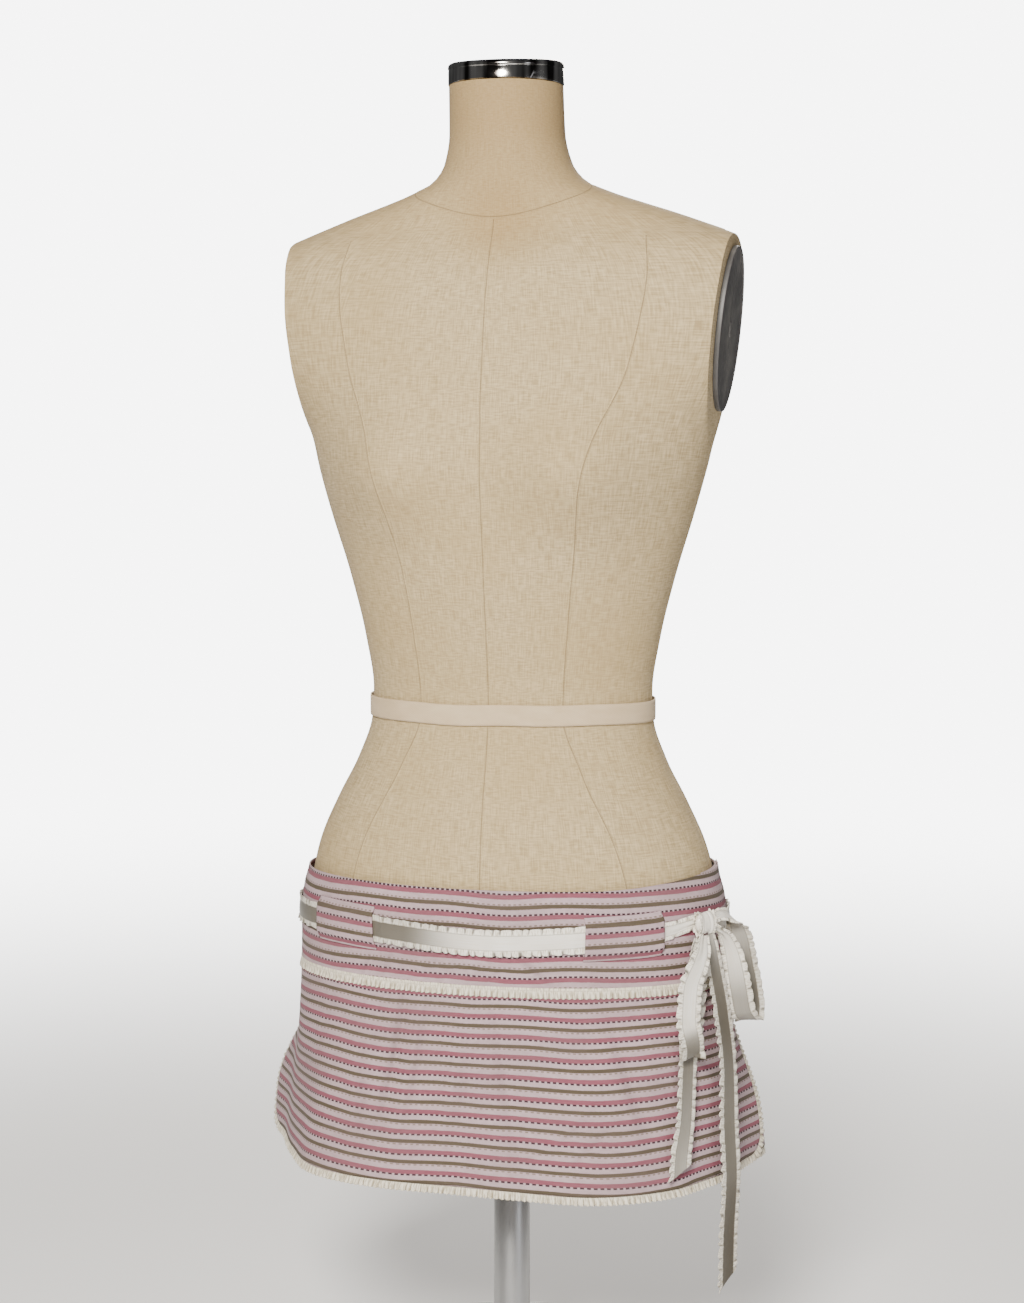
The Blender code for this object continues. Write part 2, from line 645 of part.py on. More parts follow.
SEAM_TRIM_BACK_START = 104.0
SEAM_TRIM_BACK_END = 260.0


def build_trims():
    build_edge_trim("trim_free_edge", free_edge_stops(), flush)
    hem = [EdgeStop(angle, HEM, -90.0) for angle in column_angles(UNDER_PANEL_END, 360.0 + UNDER_PANEL_START)]
    build_edge_trim("trim_back_hem", hem, sunk_at_both_sides, waves=False)
    front = column_angles(SLIT_ANGLE, WRAP_END_ANGLE, SEAM_TRIM_STEP)
    build_seam_trim("trim_seam_front", front, SEAM_TRIM_WAVE, flush)
    behind = column_angles(SEAM_TRIM_BACK_START, SEAM_TRIM_BACK_END)
    build_seam_trim("trim_seam_back", behind, 0.0, flush)


# The ribbon: belt, carriers and bow

BELT_START = KNOT_ANGLE + 1.0
BELT_END = KNOT_ANGLE - 1.0 + 360.0
BELT_PLAIN_START = 260.0
BELT_FRONT_STEP = COLUMN_STEP / 2.0
BELT_STANDOFF = CLOTH + 0.0007
STATIONS = (-1.0, -0.545, 0.545, 1.0)


def ribbon_height(angle_deg):
    """The ribbon sags in front between the carriers and climbs to the knot."""
    turned = (angle_deg + 180.0) % 360.0 - 180.0
    sag = RIBBON_SAG * math.exp(-(((turned - 2.0) / 38.0) ** 2))
    climb = (KNOT_HEIGHT - RIBBON_HEIGHT) * math.exp(-(((turned - KNOT_ANGLE) / 9.0) ** 2))
    return RIBBON_HEIGHT - sag + climb


def belt_angles():
    """The shared columns behind, where the ribbon lies plain, and half as wide ones in front for the frills."""
    behind = column_angles(BELT_START, BELT_PLAIN_START)
    ahead = column_angles(BELT_PLAIN_START, BELT_END, BELT_FRONT_STEP)
    return behind + ahead[1:]


def carrier_cover(angle):
    """1 where a carrier holds the ribbon flat, 0 where its frills are free."""
    half = math.degrees(CARRIER_WIDTH / 2.0 / 0.150)
    return any(abs((angle - middle + 180.0) % 360.0 - 180.0) < half + 2.0 for middle in CARRIER_ANGLES)


def build_belt():
    angles = belt_angles()

    def place(u, v, layer):
        index = round(u * (len(angles) - 1))
        angle = angles[index]
        station = STATIONS[round(v * 3)]
        pinch = smooth_step(2.0, 12.0, abs((angle - KNOT_ANGLE + 180.0) % 360.0 - 180.0))
        half = RIBBON_HALF * (0.55 + 0.45 * pinch)
        free = angle > BELT_PLAIN_START and not carrier_cover(angle) and abs(station) > 0.9
        lift = FRILL_WAVE * (1 + (-1) ** index) if free else 0.0
        height = ribbon_height(angle) + station * half
        return skirt_point(angle, height, BELT_STANDOFF + RIBBON_THICK * layer + lift)

    add_object("ribbon_belt", unit_grid(len(angles) - 1, 3, place), "ribbon")


CARRIER_RISES = (0.0, 0.08, 0.18, 0.5, 0.82, 0.92, 1.0)
CARRIER_LIFTS = (0.0, 0.35, 1.0, 1.0, 1.0, 0.35, 0.0)


def build_carrier(name, middle):
    """A flat carrier sewn along its top and bottom, arched over the ribbon between them."""
    half = math.degrees(CARRIER_WIDTH / 2.0 / cloth_radius(middle, ribbon_height(middle)))
    angles = column_angles(middle - half, middle + half)
    rows = len(CARRIER_RISES) - 1

    def place(u, v, layer):
        angle = angles[round(u * (len(angles) - 1))]
        row = round(v * rows)
        height = ribbon_height(angle) + CARRIER_HEIGHT * (CARRIER_RISES[row] - 0.5)
        outwards = CLOTH + GAP + CARRIER_ARCH * CARRIER_LIFTS[row]
        return skirt_point(angle, height, outwards + CLOTH * layer)

    add_object(name, unit_grid(len(angles) - 1, rows, place), "stripe_cloth")


def surface_frame(angle_deg, height):
    """Directions towards the back along the cloth, out from it, and up."""
    height = max(height, HEM)
    step = 1.0
    back = skirt_point(angle_deg + step, height, 0.0) - skirt_point(angle_deg - step, height, 0.0)
    back.normalize()
    out = Vector((back.y, -back.x, 0.0))
    return back, out, Vector((0.0, 0.0, 1.0))


def row_point(row):
    _back, out, _up = surface_frame(row.angle, row.height)
    at_hem = max(row.height, HEM)
    point = skirt_point(row.angle, at_hem, CLOTH) + out * row.standoff
    point.z = row.height
    return point


def ribbon_samples(rows, pitch):
    """Evenly spaced (point, half width, across) along a smooth curve through the rows."""
    points = [row_point(row) for row in rows]
    lengths = [0.0]
    for a, b in zip(points, points[1:]):
        lengths.append(lengths[-1] + (b - a).length)
    acrosses = []
    for row in rows:
        back, out, up = surface_frame(row.angle, row.height)
        acrosses.append((back * row.across_back + out * row.across_out + up * row.across_up).normalized())
    steps = max(4, round(lengths[-1] / pitch))

    def blended(values, reach):
        return eased(lengths, values, reach)

    samples = []
    for step in range(steps + 1):
        reach = lengths[-1] * step / steps
        point = Vector([blended([p[k] for p in points], reach) for k in range(3)])
        half = blended([row.half for row in rows], reach)
        across = Vector([blended([a[k] for a in acrosses], reach) for k in range(3)]).normalized()
        samples.append((point, half, across))
    return samples


def build_ribbon_length(name, rows, cut_length=0.0):
    """A length of ribbon along its rows, with frilled edges and, on a tail, a slanting cut end."""
    samples = ribbon_samples(rows, FRILL_PITCH / 2.0)
    last = len(samples) - 1
    forwards = [
        (samples[min(k + 1, last)][0] - samples[max(k - 1, 0)][0]).normalized() for k in range(last + 1)
    ]

    def place(u, v, layer):
        index = round(u * last)
        point, half, across = samples[index]
        forward = forwards[index]
        across = (across - forward * across.dot(forward)).normalized()
        face = across.cross(forward).normalized()
        station = STATIONS[round(v * 3)]
        fullness = half / RIBBON_HALF
        lift = FRILL_WAVE * (-1) ** index * fullness if abs(station) > 0.9 else 0.0
        slant = cut_length * 0.5 * (station + 1.0) * smooth_step(last - 4, last, index)
        return point + across * (station * half) + face * (RIBBON_THICK * (layer - 0.5) + lift) - forward * slant

    add_object(name, unit_grid(last, 3, place), "ribbon")


KNOT_HALF_WIDTH = 0.0095
KNOT_HALF_HEIGHT = 0.0105
KNOT_HALF_DEPTH = 0.0060
KNOT_STANDOFF = 0.0096


def build_knot():
    """The knot as a soft pad with the pinch of the ribbon that wraps it."""
    back, out, up = surface_frame(KNOT_ANGLE, KNOT_HEIGHT)
    centre = skirt_point(KNOT_ANGLE, KNOT_HEIGHT, 0.0) + out * KNOT_STANDOFF
    bm = bmesh.new()
    bmesh.ops.create_uvsphere(bm, u_segments=16, v_segments=10, radius=1.0)
    for vert in bm.verts:
        ball = vert.co.copy()
        pinch = 1.0 - 0.18 * math.exp(-((ball.z / 0.35) ** 2))
        vert.co = (
            centre
            + back * (ball.x * KNOT_HALF_WIDTH * pinch)
            + out * (ball.y * KNOT_HALF_DEPTH)
            + up * (ball.z * KNOT_HALF_HEIGHT)
        )
    add_object("bow_knot", bm, "ribbon")


def build_bow():
    build_knot()
    build_ribbon_length("bow_loop_front", FRONT_LOOP)
    build_ribbon_length("bow_loop_back", BACK_LOOP)
    build_ribbon_length("bow_tail_short", SHORT_TAIL, TAIL_CUT)
    build_ribbon_length("bow_tail_long", LONG_TAIL, TAIL_CUT)


def main():
    clear_scene()
    build_torso()
    build_neck_cap()
    build_armhole_plate("armhole_plate_left", 1)
    build_armhole_plate("armhole_plate_right", -1)
    build_waist_tape()
    build_stand()
    build_cloth()
    build_trims()
    build_belt()
    for index, middle in enumerate(CARRIER_ANGLES):
        build_carrier(f"belt_carrier_{index + 1}", middle)
    build_bow()


main()
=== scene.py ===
# %% [markdown]
# # A short wrap skirt on a dress form
#
# The skirt has a yoke round the hips, a flared body, narrow frills on its edges and a ruffled ribbon that
# is tied at the hip. A limbless linen form on a stand carries it. The solids of the same object were
# measured and packed first, so this lesson loads them as a fixed frame and dresses them: each piece that is
# made here stands for one solid.

import math

import bmesh
import bpy
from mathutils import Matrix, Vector


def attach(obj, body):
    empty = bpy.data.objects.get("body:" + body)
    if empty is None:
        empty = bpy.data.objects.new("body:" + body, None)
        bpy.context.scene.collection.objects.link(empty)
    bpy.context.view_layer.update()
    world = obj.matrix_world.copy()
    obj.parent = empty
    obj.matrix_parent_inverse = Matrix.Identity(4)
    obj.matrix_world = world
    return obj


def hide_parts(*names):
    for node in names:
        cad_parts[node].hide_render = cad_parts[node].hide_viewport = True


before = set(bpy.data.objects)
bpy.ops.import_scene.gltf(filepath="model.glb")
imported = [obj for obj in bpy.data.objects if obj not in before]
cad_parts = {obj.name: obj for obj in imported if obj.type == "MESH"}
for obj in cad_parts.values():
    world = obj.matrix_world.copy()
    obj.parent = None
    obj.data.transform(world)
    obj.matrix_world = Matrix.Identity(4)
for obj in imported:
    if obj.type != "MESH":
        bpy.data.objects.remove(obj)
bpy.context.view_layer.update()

# %% [markdown]
# ## The view
#
# The camera stands two metres away, a little to the figure's left and a little above the waist, and looks
# slightly down. A longer lens from further off would flatten the hem's curve, and a shorter one would bend
# it too much.

# %% Camera
VIEW_TURN = math.radians(14.0)
VIEW_DOWN = math.radians(4.9)
VIEW_DISTANCE = 2.0
VIEW_HEIGHT = 0.800
LENS_MM = 67.6

camera_data = bpy.data.cameras.new("camera")
camera_data.lens = LENS_MM
camera_data.sensor_width = 36.0
camera = bpy.data.objects.new("camera", camera_data)
camera.location = (VIEW_DISTANCE * math.sin(VIEW_TURN), -VIEW_DISTANCE * math.cos(VIEW_TURN), VIEW_HEIGHT)
level = math.cos(VIEW_DOWN)
aim = Vector((-math.sin(VIEW_TURN) * level, math.cos(VIEW_TURN) * level, -math.sin(VIEW_DOWN)))
camera.rotation_euler = aim.to_track_quat("-Z", "Y").to_euler()
bpy.context.scene.collection.objects.link(camera)
bpy.context.scene.camera = camera
print("camera at", tuple(round(value, 3) for value in camera.location))

# %% [markdown]
# ## Colours and nodes
#
# Colours are read off as sRGB hex values, but a shader works in linear light, so one function converts
# them. A second small function adds a node, sets its options and fills its inputs. A few short ones on top
# of it name the steps that come back in every material, which keeps each material readable as a recipe.

# %% Colour, node and material helpers
def linear(hex_colour):
    """An sRGB hex colour as linear red, green, blue and alpha."""
    channels = [int(hex_colour[k:k + 2], 16) / 255.0 for k in (1, 3, 5)]
    return [c / 12.92 if c <= 0.04045 else ((c + 0.055) / 1.055) ** 2.4 for c in channels] + [1.0]


def add_node(tree, kind, inputs=None, **settings):
    """Adds one node; each input takes either a value or another node's output."""
    node = tree.nodes.new(kind)
    for setting, value in settings.items():
        setattr(node, setting, value)
    for socket, source in (inputs or {}).items():
        if isinstance(source, bpy.types.NodeSocket):
            tree.links.new(source, node.inputs[socket])
        else:
            node.inputs[socket].default_value = source
    return node


def maths(tree, operation, *values):
    return add_node(tree, "ShaderNodeMath", dict(enumerate(values)), operation=operation).outputs[0]


def ranged(tree, value, low, high, to_low=0.0, to_high=1.0, ease="LINEAR"):
    """A value from low to high moved onto to_low to to_high, and held there beyond both ends."""
    spans = {"Value": value, "From Min": low, "From Max": high, "To Min": to_low, "To Max": to_high}
    return add_node(tree, "ShaderNodeMapRange", spans, interpolation_type=ease).outputs[0]


def noise_at(tree, spot, scale, detail):
    return add_node(tree, "ShaderNodeTexNoise", {"Vector": spot, "Scale": scale, "Detail": detail}).outputs[0]


def scaled_spot(tree, spot, scale):
    return add_node(tree, "ShaderNodeMapping", {"Vector": spot, "Scale": scale}).outputs[0]


def blended_colour(tree, share, first, second):
    """The first colour where share is 0, the second where it is 1; each is a hex value or an output."""
    first, second = (linear(c) if isinstance(c, str) else c for c in (first, second))
    return add_node(tree, "ShaderNodeMix", {0: share, 6: first, 7: second}, data_type="RGBA").outputs[2]


def cut_uv(tree):
    """The UV map in metres of flat cloth."""
    return add_node(tree, "ShaderNodeUVMap", uv_map="cut").outputs[0]


def object_spot(tree):
    return add_node(tree, "ShaderNodeTexCoord").outputs["Object"]


def fold_shade(tree):
    """The grid's own value for how much painted shade a point gets, in a fold or where it turns from the
    light.
    """
    return add_node(tree, "ShaderNodeAttribute", attribute_name="fold").outputs["Fac"]


def new_finish(name, **values):
    """A material with its constant values on the shader's own sockets."""
    finish = bpy.data.materials.new(name)
    finish.use_nodes = True
    shader = finish.node_tree.nodes["Principled BSDF"]
    for socket, value in values.items():
        shader.inputs[socket.replace("_", " ")].default_value = value
    return finish, finish.node_tree, shader


def link_finish(tree, shader, colour, height, strength, distance, rough=None):
    """Gives the shader its colour, a bump from the height and, where it varies, its roughness."""
    bump = add_node(tree, "ShaderNodeBump", {"Height": height, "Strength": strength, "Distance": distance})
    tree.links.new(colour, shader.inputs["Base Color"])
    tree.links.new(bump.outputs[0], shader.inputs["Normal"])
    if rough is not None:
        tree.links.new(rough, shader.inputs["Roughness"])


print("white is", linear("#ffffff"), "and mid grey is", [round(c, 3) for c in linear("#808080")])

# %% [markdown]
# ## A surface from a rule
#
# Cloth and the form are curved surfaces whose shape is known as a rule: an angle round the figure and a
# height give a point. So each starts as a flat grid, and every point of the grid is moved to where the rule
# puts it. The grid also gets a UV map in metres of flat cloth, which later carries the stripes and the
# weave along the surface, and a number at every point, called fold, which says how much shade lies in a
# fold there.

# %% Grid and finishing helpers
def laid_grid(columns, rows, place, closed=False):
    """A grid whose points, UVs and fold come from place(u, v); a closed one is joined into a ring."""
    bm = bmesh.new()
    bmesh.ops.create_grid(bm, x_segments=columns, y_segments=rows, size=1.0)
    cut = bm.loops.layers.uv.new("cut")
    fold = bm.verts.layers.float.new("fold")
    spots = {}
    for vert in bm.verts:
        vert.co, spots[vert], *shade = place(0.5 + 0.5 * vert.co.x, 0.5 + 0.5 * vert.co.y)
        vert[fold] = shade[0] if shade else 0.0
    for face in bm.faces:
        for loop in face.loops:
            loop[cut].uv = spots[loop.vert]
    if closed:
        bmesh.ops.remove_doubles(bm, verts=bm.verts, dist=1e-6)
    return bm


def finish_piece(name, bm, finish, solid="", wall=0.0, sharp_deg=50.0):
    """Makes the mesh an object that rides on the part in place of a solid; a wall is added outwards."""
    mesh = bpy.data.meshes.new(name)
    bm.to_mesh(mesh)
    bm.free()
    mesh.materials.append(finish)
    mesh.shade_smooth()
    mesh.set_sharp_from_angle(angle=math.radians(sharp_deg))
    piece = bpy.data.objects.new(name, mesh)
    bpy.context.scene.collection.objects.link(piece)
    if wall:
        thick = piece.modifiers.new("wall", "SOLIDIFY")
        thick.thickness = wall
        thick.offset = 1.0
    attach(piece, "root")
    if solid:
        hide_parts(solid)
    print(name, "has", len(mesh.polygons), "faces")
    return piece


def smooth_step(low, high, value):
    share = min(1.0, max(0.0, (value - low) / (high - low)))
    return share * share * (3.0 - 2.0 * share)


def bell(away, spread):
    """1 in the middle, falling off softly to 0 beyond about twice the spread."""
    return math.exp(-((away / spread) ** 2))


# %% [markdown]
# ## Sections of the form and the skirt
#
# A dress form is drawn up like a ship: level sections at a few heights, each a rounded oval that may be
# deeper in front than behind. A smooth curve through the sections gives every height between them. The same
# tables as in the measured solids are used, so that each piece sits exactly where its solid is.

# %% Section tables and curves
FORM_SECTIONS = [
    # height, half width, front, back, squareness, shift back
    (0.262, 0.1660, 0.0900, 0.1080, 2.10, 0.000),
    (0.310, 0.1720, 0.0970, 0.1150, 2.10, 0.000),
    (0.360, 0.1748, 0.1005, 0.1185, 2.10, 0.000),
    (0.400, 0.1745, 0.1040, 0.1175, 2.05, 0.000),
    (0.440, 0.1692, 0.1060, 0.1120, 2.00, 0.000),
    (0.459, 0.1655, 0.1050, 0.1070, 2.00, 0.000),
    (0.476, 0.1605, 0.1030, 0.1020, 2.00, 0.000),
    (0.509, 0.1455, 0.0970, 0.0930, 2.00, 0.000),
    (0.542, 0.1285, 0.0870, 0.0850, 2.00, 0.000),
    (0.575, 0.1175, 0.0790, 0.0810, 2.00, 0.000),
    (0.598, 0.1163, 0.0775, 0.0815, 2.00, 0.000),
    (0.641, 0.1225, 0.0830, 0.0860, 2.00, 0.000),
    (0.691, 0.1345, 0.0920, 0.0930, 2.00, 0.000),
    (0.740, 0.1490, 0.0980, 0.1000, 2.05, 0.000),
    (0.780, 0.1600, 0.1020, 0.1060, 2.10, 0.000),
    (0.805, 0.1665, 0.1015, 0.1080, 2.10, 0.000),
    (0.835, 0.1830, 0.1005, 0.1090, 2.10, 0.000),
    (0.870, 0.2080, 0.0970, 0.1080, 2.10, 0.002),
    (0.905, 0.2250, 0.0920, 0.1040, 2.10, 0.004),
    (0.935, 0.2200, 0.0840, 0.0960, 2.10, 0.006),
    (0.955, 0.2020, 0.0740, 0.0860, 2.10, 0.006),
    (0.966, 0.1780, 0.0680, 0.0780, 2.00, 0.006),
    (0.974, 0.1560, 0.0640, 0.0740, 2.00, 0.004),
    (0.982, 0.1330, 0.0610, 0.0690, 2.00, 0.002),
    (0.990, 0.1080, 0.0590, 0.0640, 2.00, 0.000),
    (0.998, 0.0840, 0.0570, 0.0590, 2.00, -0.003),
    (1.008, 0.0620, 0.0530, 0.0540, 2.00, -0.007),
    (1.022, 0.0515, 0.0490, 0.0495, 2.00, -0.011),
    (1.045, 0.0465, 0.0465, 0.0465, 2.00, -0.015),
    (1.082, 0.0457, 0.0457, 0.0457, 2.00, -0.019),
]
SKIRT_SECTIONS = [
    (0.200, 0.1930, 0.1310, 0.1418, 2.62, 0.000),
    (0.212, 0.1915, 0.1290, 0.1400, 2.60, 0.000),
    (0.262, 0.1860, 0.1200, 0.1330, 2.45, 0.000),
    (0.310, 0.1805, 0.1120, 0.1270, 2.30, 0.000),
    (0.345, 0.1785, 0.1070, 0.1235, 2.18, 0.000),
    (0.371, 0.1780, 0.1050, 0.1220, 2.12, 0.000),
    (0.411, 0.1773, 0.1075, 0.1215, 2.10, 0.000),
    (0.432, 0.1755, 0.1090, 0.1185, 2.06, 0.000),
    (0.450, 0.1710, 0.1087, 0.1135, 2.04, 0.000),
    (0.462, 0.1694, 0.1080, 0.1100, 2.02, 0.000),
]


def slope_at(xs, ys, i):
    """A slope that never overshoots its neighbours."""
    if i == 0 or i == len(xs) - 1:
        j = min(i, len(xs) - 2)
        return (ys[j + 1] - ys[j]) / (xs[j + 1] - xs[j])
    before = (ys[i] - ys[i - 1]) / (xs[i] - xs[i - 1])
    after = (ys[i + 1] - ys[i]) / (xs[i + 1] - xs[i])
    return 0.0 if before * after <= 0.0 else 2.0 * before * after / (before + after)


def eased(xs, ys, x):
    """The value at x of a smooth curve through the points."""
    x = min(max(x, xs[0]), xs[-1])
    i = next(k for k in range(len(xs) - 1) if x <= xs[k + 1])
    span = xs[i + 1] - xs[i]
    t = (x - xs[i]) / span
    start, end = slope_at(xs, ys, i) * span, slope_at(xs, ys, i + 1) * span
    return (
        ys[i] * (2 * t**3 - 3 * t**2 + 1)
        + start * (t**3 - 2 * t**2 + t)
        + ys[i + 1] * (3 * t**2 - 2 * t**3)
        + end * (t**3 - t**2)
    )


SECTION_STEP = 0.001


def closely_spaced(table):
    """The table's sections at every millimetre, so that looking one up later is quick."""
    heights = [row[0] for row in table]
    count = round((heights[-1] - heights[0]) / SECTION_STEP)
    columns = [[row[k] for row in table] for k in range(1, 6)]
    levels = [heights[0] + SECTION_STEP * step for step in range(count + 1)]
    return [[eased(heights, column, level) for column in columns] for level in levels]


FORM_CLOSE = closely_spaced(FORM_SECTIONS)
SKIRT_CLOSE = closely_spaced(SKIRT_SECTIONS)


def section_at(table, close, height):
    """Half width, front depth, back depth, squareness and shift at a height."""
    place = min(max((height - table[0][0]) / SECTION_STEP, 0.0), len(close) - 1.000001)
    low = int(place)
    share = place - low
    return [a + (b - a) * share for a, b in zip(close[low], close[low + 1])]


def ring_radius(section, angle_deg):
    """Distance from the axis to the rounded oval in one direction."""
    half_width, front, back, power, _shift = section
    angle = math.radians(angle_deg)
    depth = front if math.cos(angle) > 0.0 else back
    across = abs(math.sin(angle)) / half_width
    along = abs(math.cos(angle)) / depth
    return (across**power + along**power) ** (-1.0 / power)


def polar(angle_deg, radius, height, shift=0.0):
    """Angle 0 is centre front and grows towards the figure's left."""
    angle = math.radians(angle_deg)
    return Vector((radius * math.sin(angle), shift - radius * math.cos(angle), height))


print(len(FORM_CLOSE), "sections of the form and", len(SKIRT_CLOSE), "of the skirt")

# %% [markdown]
# ## Linen
#
# The form is a hard shell covered in unbleached linen. Plain-woven linen has threads of uneven thickness,
# so the eye sees fine slubs along and across, and a matt surface with a little fuzz at its edges. Its
# threads are about half a millimetre apart, which is finer than the picture shows, so the weave is drawn at
# 1.2 mm. Age has yellowed the neck and left a stain below it, and the ditch of every seam is darkened, partly
# for dust and partly as painted shade.

# %% Linen finish
LINEN_THREAD = 0.0012
STAIN_SPOT = (0.006, -0.058, 0.972)
STAIN_REACH = 0.060
DITCH_EDGE, DITCH_BOTTOM = 0.0007, 0.0002


def woven_noise(tree, uv, along_mm, across_mm, detail=2.0):
    """Noise drawn out along one thread direction; the two lengths are the size of one slub in millimetres."""
    return noise_at(tree, scaled_spot(tree, uv, (1000.0 / along_mm, 1000.0 / across_mm, 1.0)), 1.0, detail)


def make_linen(name, ditch):
    """With a ditch, the middle of a seam strip is darkened, where dust and shade collect."""
    linen, tree, shader = new_finish(name, Roughness=0.88, Sheen_Weight=0.05, Sheen_Roughness=0.5)
    uv, spot = cut_uv(tree), object_spot(tree)
    warp = woven_noise(tree, uv, LINEN_THREAD * 1000, 14.0)
    weft = woven_noise(tree, uv, 11.0, LINEN_THREAD * 1000)
    threads = maths(tree, "ADD", warp, weft)
    colour = blended_colour(tree, ranged(tree, threads, 0.75, 1.25), "#a08b64", "#c8b38a")
    handled = ranged(tree, noise_at(tree, spot, 9.0, 3.0), 0.42, 0.72, 0.0, 0.4)
    colour = blended_colour(tree, handled, colour, "#a98f60")
    height = add_node(tree, "ShaderNodeSeparateXYZ", {0: spot}).outputs["Z"]
    colour = blended_colour(tree, ranged(tree, height, 0.93, 1.05, 0.0, 0.7), colour, "#9a7d50")
    gap = add_node(tree, "ShaderNodeVectorMath", {0: spot, 1: STAIN_SPOT}, operation="DISTANCE")
    soiled = ranged(tree, gap.outputs["Value"], STAIN_REACH, 0.0, 0.0, 0.5, "SMOOTHSTEP")
    colour = blended_colour(tree, soiled, colour, "#9a7a46")
    if ditch:
        # The seam's ditch is darkened: dust, and painted shade in the groove.
        away = maths(tree, "ABSOLUTE", add_node(tree, "ShaderNodeSeparateXYZ", {0: uv}).outputs["Y"])
        dust_and_shade = ranged(tree, away, DITCH_EDGE, DITCH_BOTTOM, 0.0, 0.55)
        colour = blended_colour(tree, dust_and_shade, colour, "#6b5a3c")
    link_finish(tree, shader, colour, threads, 0.5, 0.0004)
    return linen


LINEN = make_linen("unbleached_linen", False)
SEAMED_LINEN = make_linen("seamed_linen", True)
print("linen threads drawn", LINEN_THREAD * 1000, "mm apart")

# %% [markdown]
# ## The body form
#
# The shell is one smooth shape from the hips to the neck. It could be sculpted, but sections with a soft
# swelling for the bust give the same surface with far fewer decisions. The shoulders end in flat ovals,
# where arms would begin: a plane cuts each one off, and the hole is closed with a flat face.

# %% Body form
TORSO_BOTTOM = 0.268
NECK_TOP = 1.082
BUST_HALF_SPREAD = 0.078
BUST_HEIGHT = 0.778
BUST_ROUND = 0.050
BUST_DEPTH = 0.030
ARMHOLE_LOWEST = 0.735
PLATE_CENTRE = Vector((0.1735, 0.010, 0.890))
PLATE_LEAN = math.radians(6.0)


def torso_point(angle_deg, height, outwards=0.0):
    section = section_at(FORM_SECTIONS, FORM_CLOSE, height)
    point = polar(angle_deg, ring_radius(section, angle_deg) + outwards, height, section[4])
    if point.y < 0.0:
        sideways = (abs(point.x) - BUST_HALF_SPREAD) / BUST_ROUND
        upward = (height - BUST_HEIGHT) / BUST_ROUND
        point.y -= BUST_DEPTH * math.exp(-(sideways**2) - upward**2)
    return point


def plate_plane(side):
    """A point on an armhole's flat and its outward normal, on the figure's left (1) or right (-1)."""
    normal = Vector((side * math.cos(PLATE_LEAN), 0.0, -math.sin(PLATE_LEAN)))
    return Vector((side * PLATE_CENTRE.x, PLATE_CENTRE.y, PLATE_CENTRE.z)), normal


def place_on_torso(u, v):
    height = TORSO_BOTTOM + (NECK_TOP - TORSO_BOTTOM) * v
    return torso_point(360.0 * u, height), (0.95 * u, height)


body = laid_grid(160, 170, place_on_torso, closed=True)
bmesh.ops.holes_fill(body, edges=[edge for edge in body.edges if edge.is_boundary])
for side in (-1, 1):
    point, normal = plate_plane(side)
    high = [vert for vert in body.verts if vert.co.z > ARMHOLE_LOWEST]
    high += [edge for edge in body.edges if all(vert.co.z > ARMHOLE_LOWEST for vert in edge.verts)]
    high += [face for face in body.faces if all(vert.co.z > ARMHOLE_LOWEST for vert in face.verts)]
    cut = bmesh.ops.bisect_plane(
        body, geom=high, dist=1e-6, plane_co=point, plane_no=normal, clear_outer=True
    )
    rim = [item for item in cut["geom_cut"] if isinstance(item, bmesh.types.BMEdge)]
    bmesh.ops.holes_fill(body, edges=rim)
bmesh.ops.recalc_face_normals(body, faces=body.faces)
body_form = finish_piece("body_form", body, LINEN, "form_torso", sharp_deg=35.0)

# %% [markdown]
# ## Seams of the linen cover
#
# The cover is pieced from long gores, and each join shows as two very low rolls with a dark ditch between
# them. A line painted on would vanish at the edge of the form, so each seam is a narrow strip that follows
# the surface, a third of a millimetre high, with the ditch pressed into its middle.

# %% Seam strips
MM = 0.001
SEAM_PROFILE = [(-1.5, -0.10), (-1.0, 0.16), (-0.5, 0.30), (-0.18, 0.22), (0.0, -0.02),
                (0.18, 0.22), (0.5, 0.30), (1.0, 0.16), (1.5, -0.10)]


def torso_normal(angle, height):
    round_it = torso_point(angle + 0.6, height) - torso_point(angle - 0.6, height)
    up_it = torso_point(angle, height + MM) - torso_point(angle, height - MM)
    return round_it.cross(up_it).normalized()


def seam_strip(name, path, steps):
    """path(t) gives the angle and height for t from 0 to 1."""
    stops = [path(k / steps) for k in range(steps + 1)]
    points = [torso_point(*stop) for stop in stops]
    normals = [torso_normal(*stop) for stop in stops]

    def place(u, v):
        k = round(u * steps)
        offset, lift = SEAM_PROFILE[round(v * (len(SEAM_PROFILE) - 1))]
        ahead = points[min(k + 1, steps)] - points[max(k - 1, 0)]
        across = normals[k].cross(ahead).normalized()
        return points[k] + across * (offset * MM) + normals[k] * (lift * MM), (0.004 * u * steps, offset * MM)

    finish_piece(name, laid_grid(steps, len(SEAM_PROFILE) - 1, place), SEAMED_LINEN)


def angle_at(across, height, backwards=False):
    """The angle at which the form is that far from its middle line, in front or behind."""
    low, high = (90.0, 180.0) if backwards else (0.0, 90.0)
    for _ in range(30):
        middle = 0.5 * (low + high)
        if (torso_point(middle, height).x < across) != backwards:
            low = middle
        else:
            high = middle
    return 0.5 * (low + high)


def straight_seam(angle, low, high):
    return lambda t: (angle, high + (low - high) * t)


PRINCESS_LINE = [(0.440, 0.1140), (0.456, 0.1110), (0.484, 0.1020), (0.540, 0.0740), (0.585, 0.0580),
                 (0.660, 0.0640), (0.740, 0.0760), (0.800, 0.0900), (0.860, 0.1130), (0.930, 0.1240),
                 (0.960, 0.1200)]


def princess_seam(side, backwards):
    heights = [row[0] for row in PRINCESS_LINE]
    acrosses = [row[1] for row in PRINCESS_LINE]

    def path(t):
        height = heights[-1] + (heights[0] - heights[-1]) * t
        across = eased(heights, acrosses, height) * (0.86 if backwards else 1.0)
        return side * angle_at(across, height, backwards), height

    return path


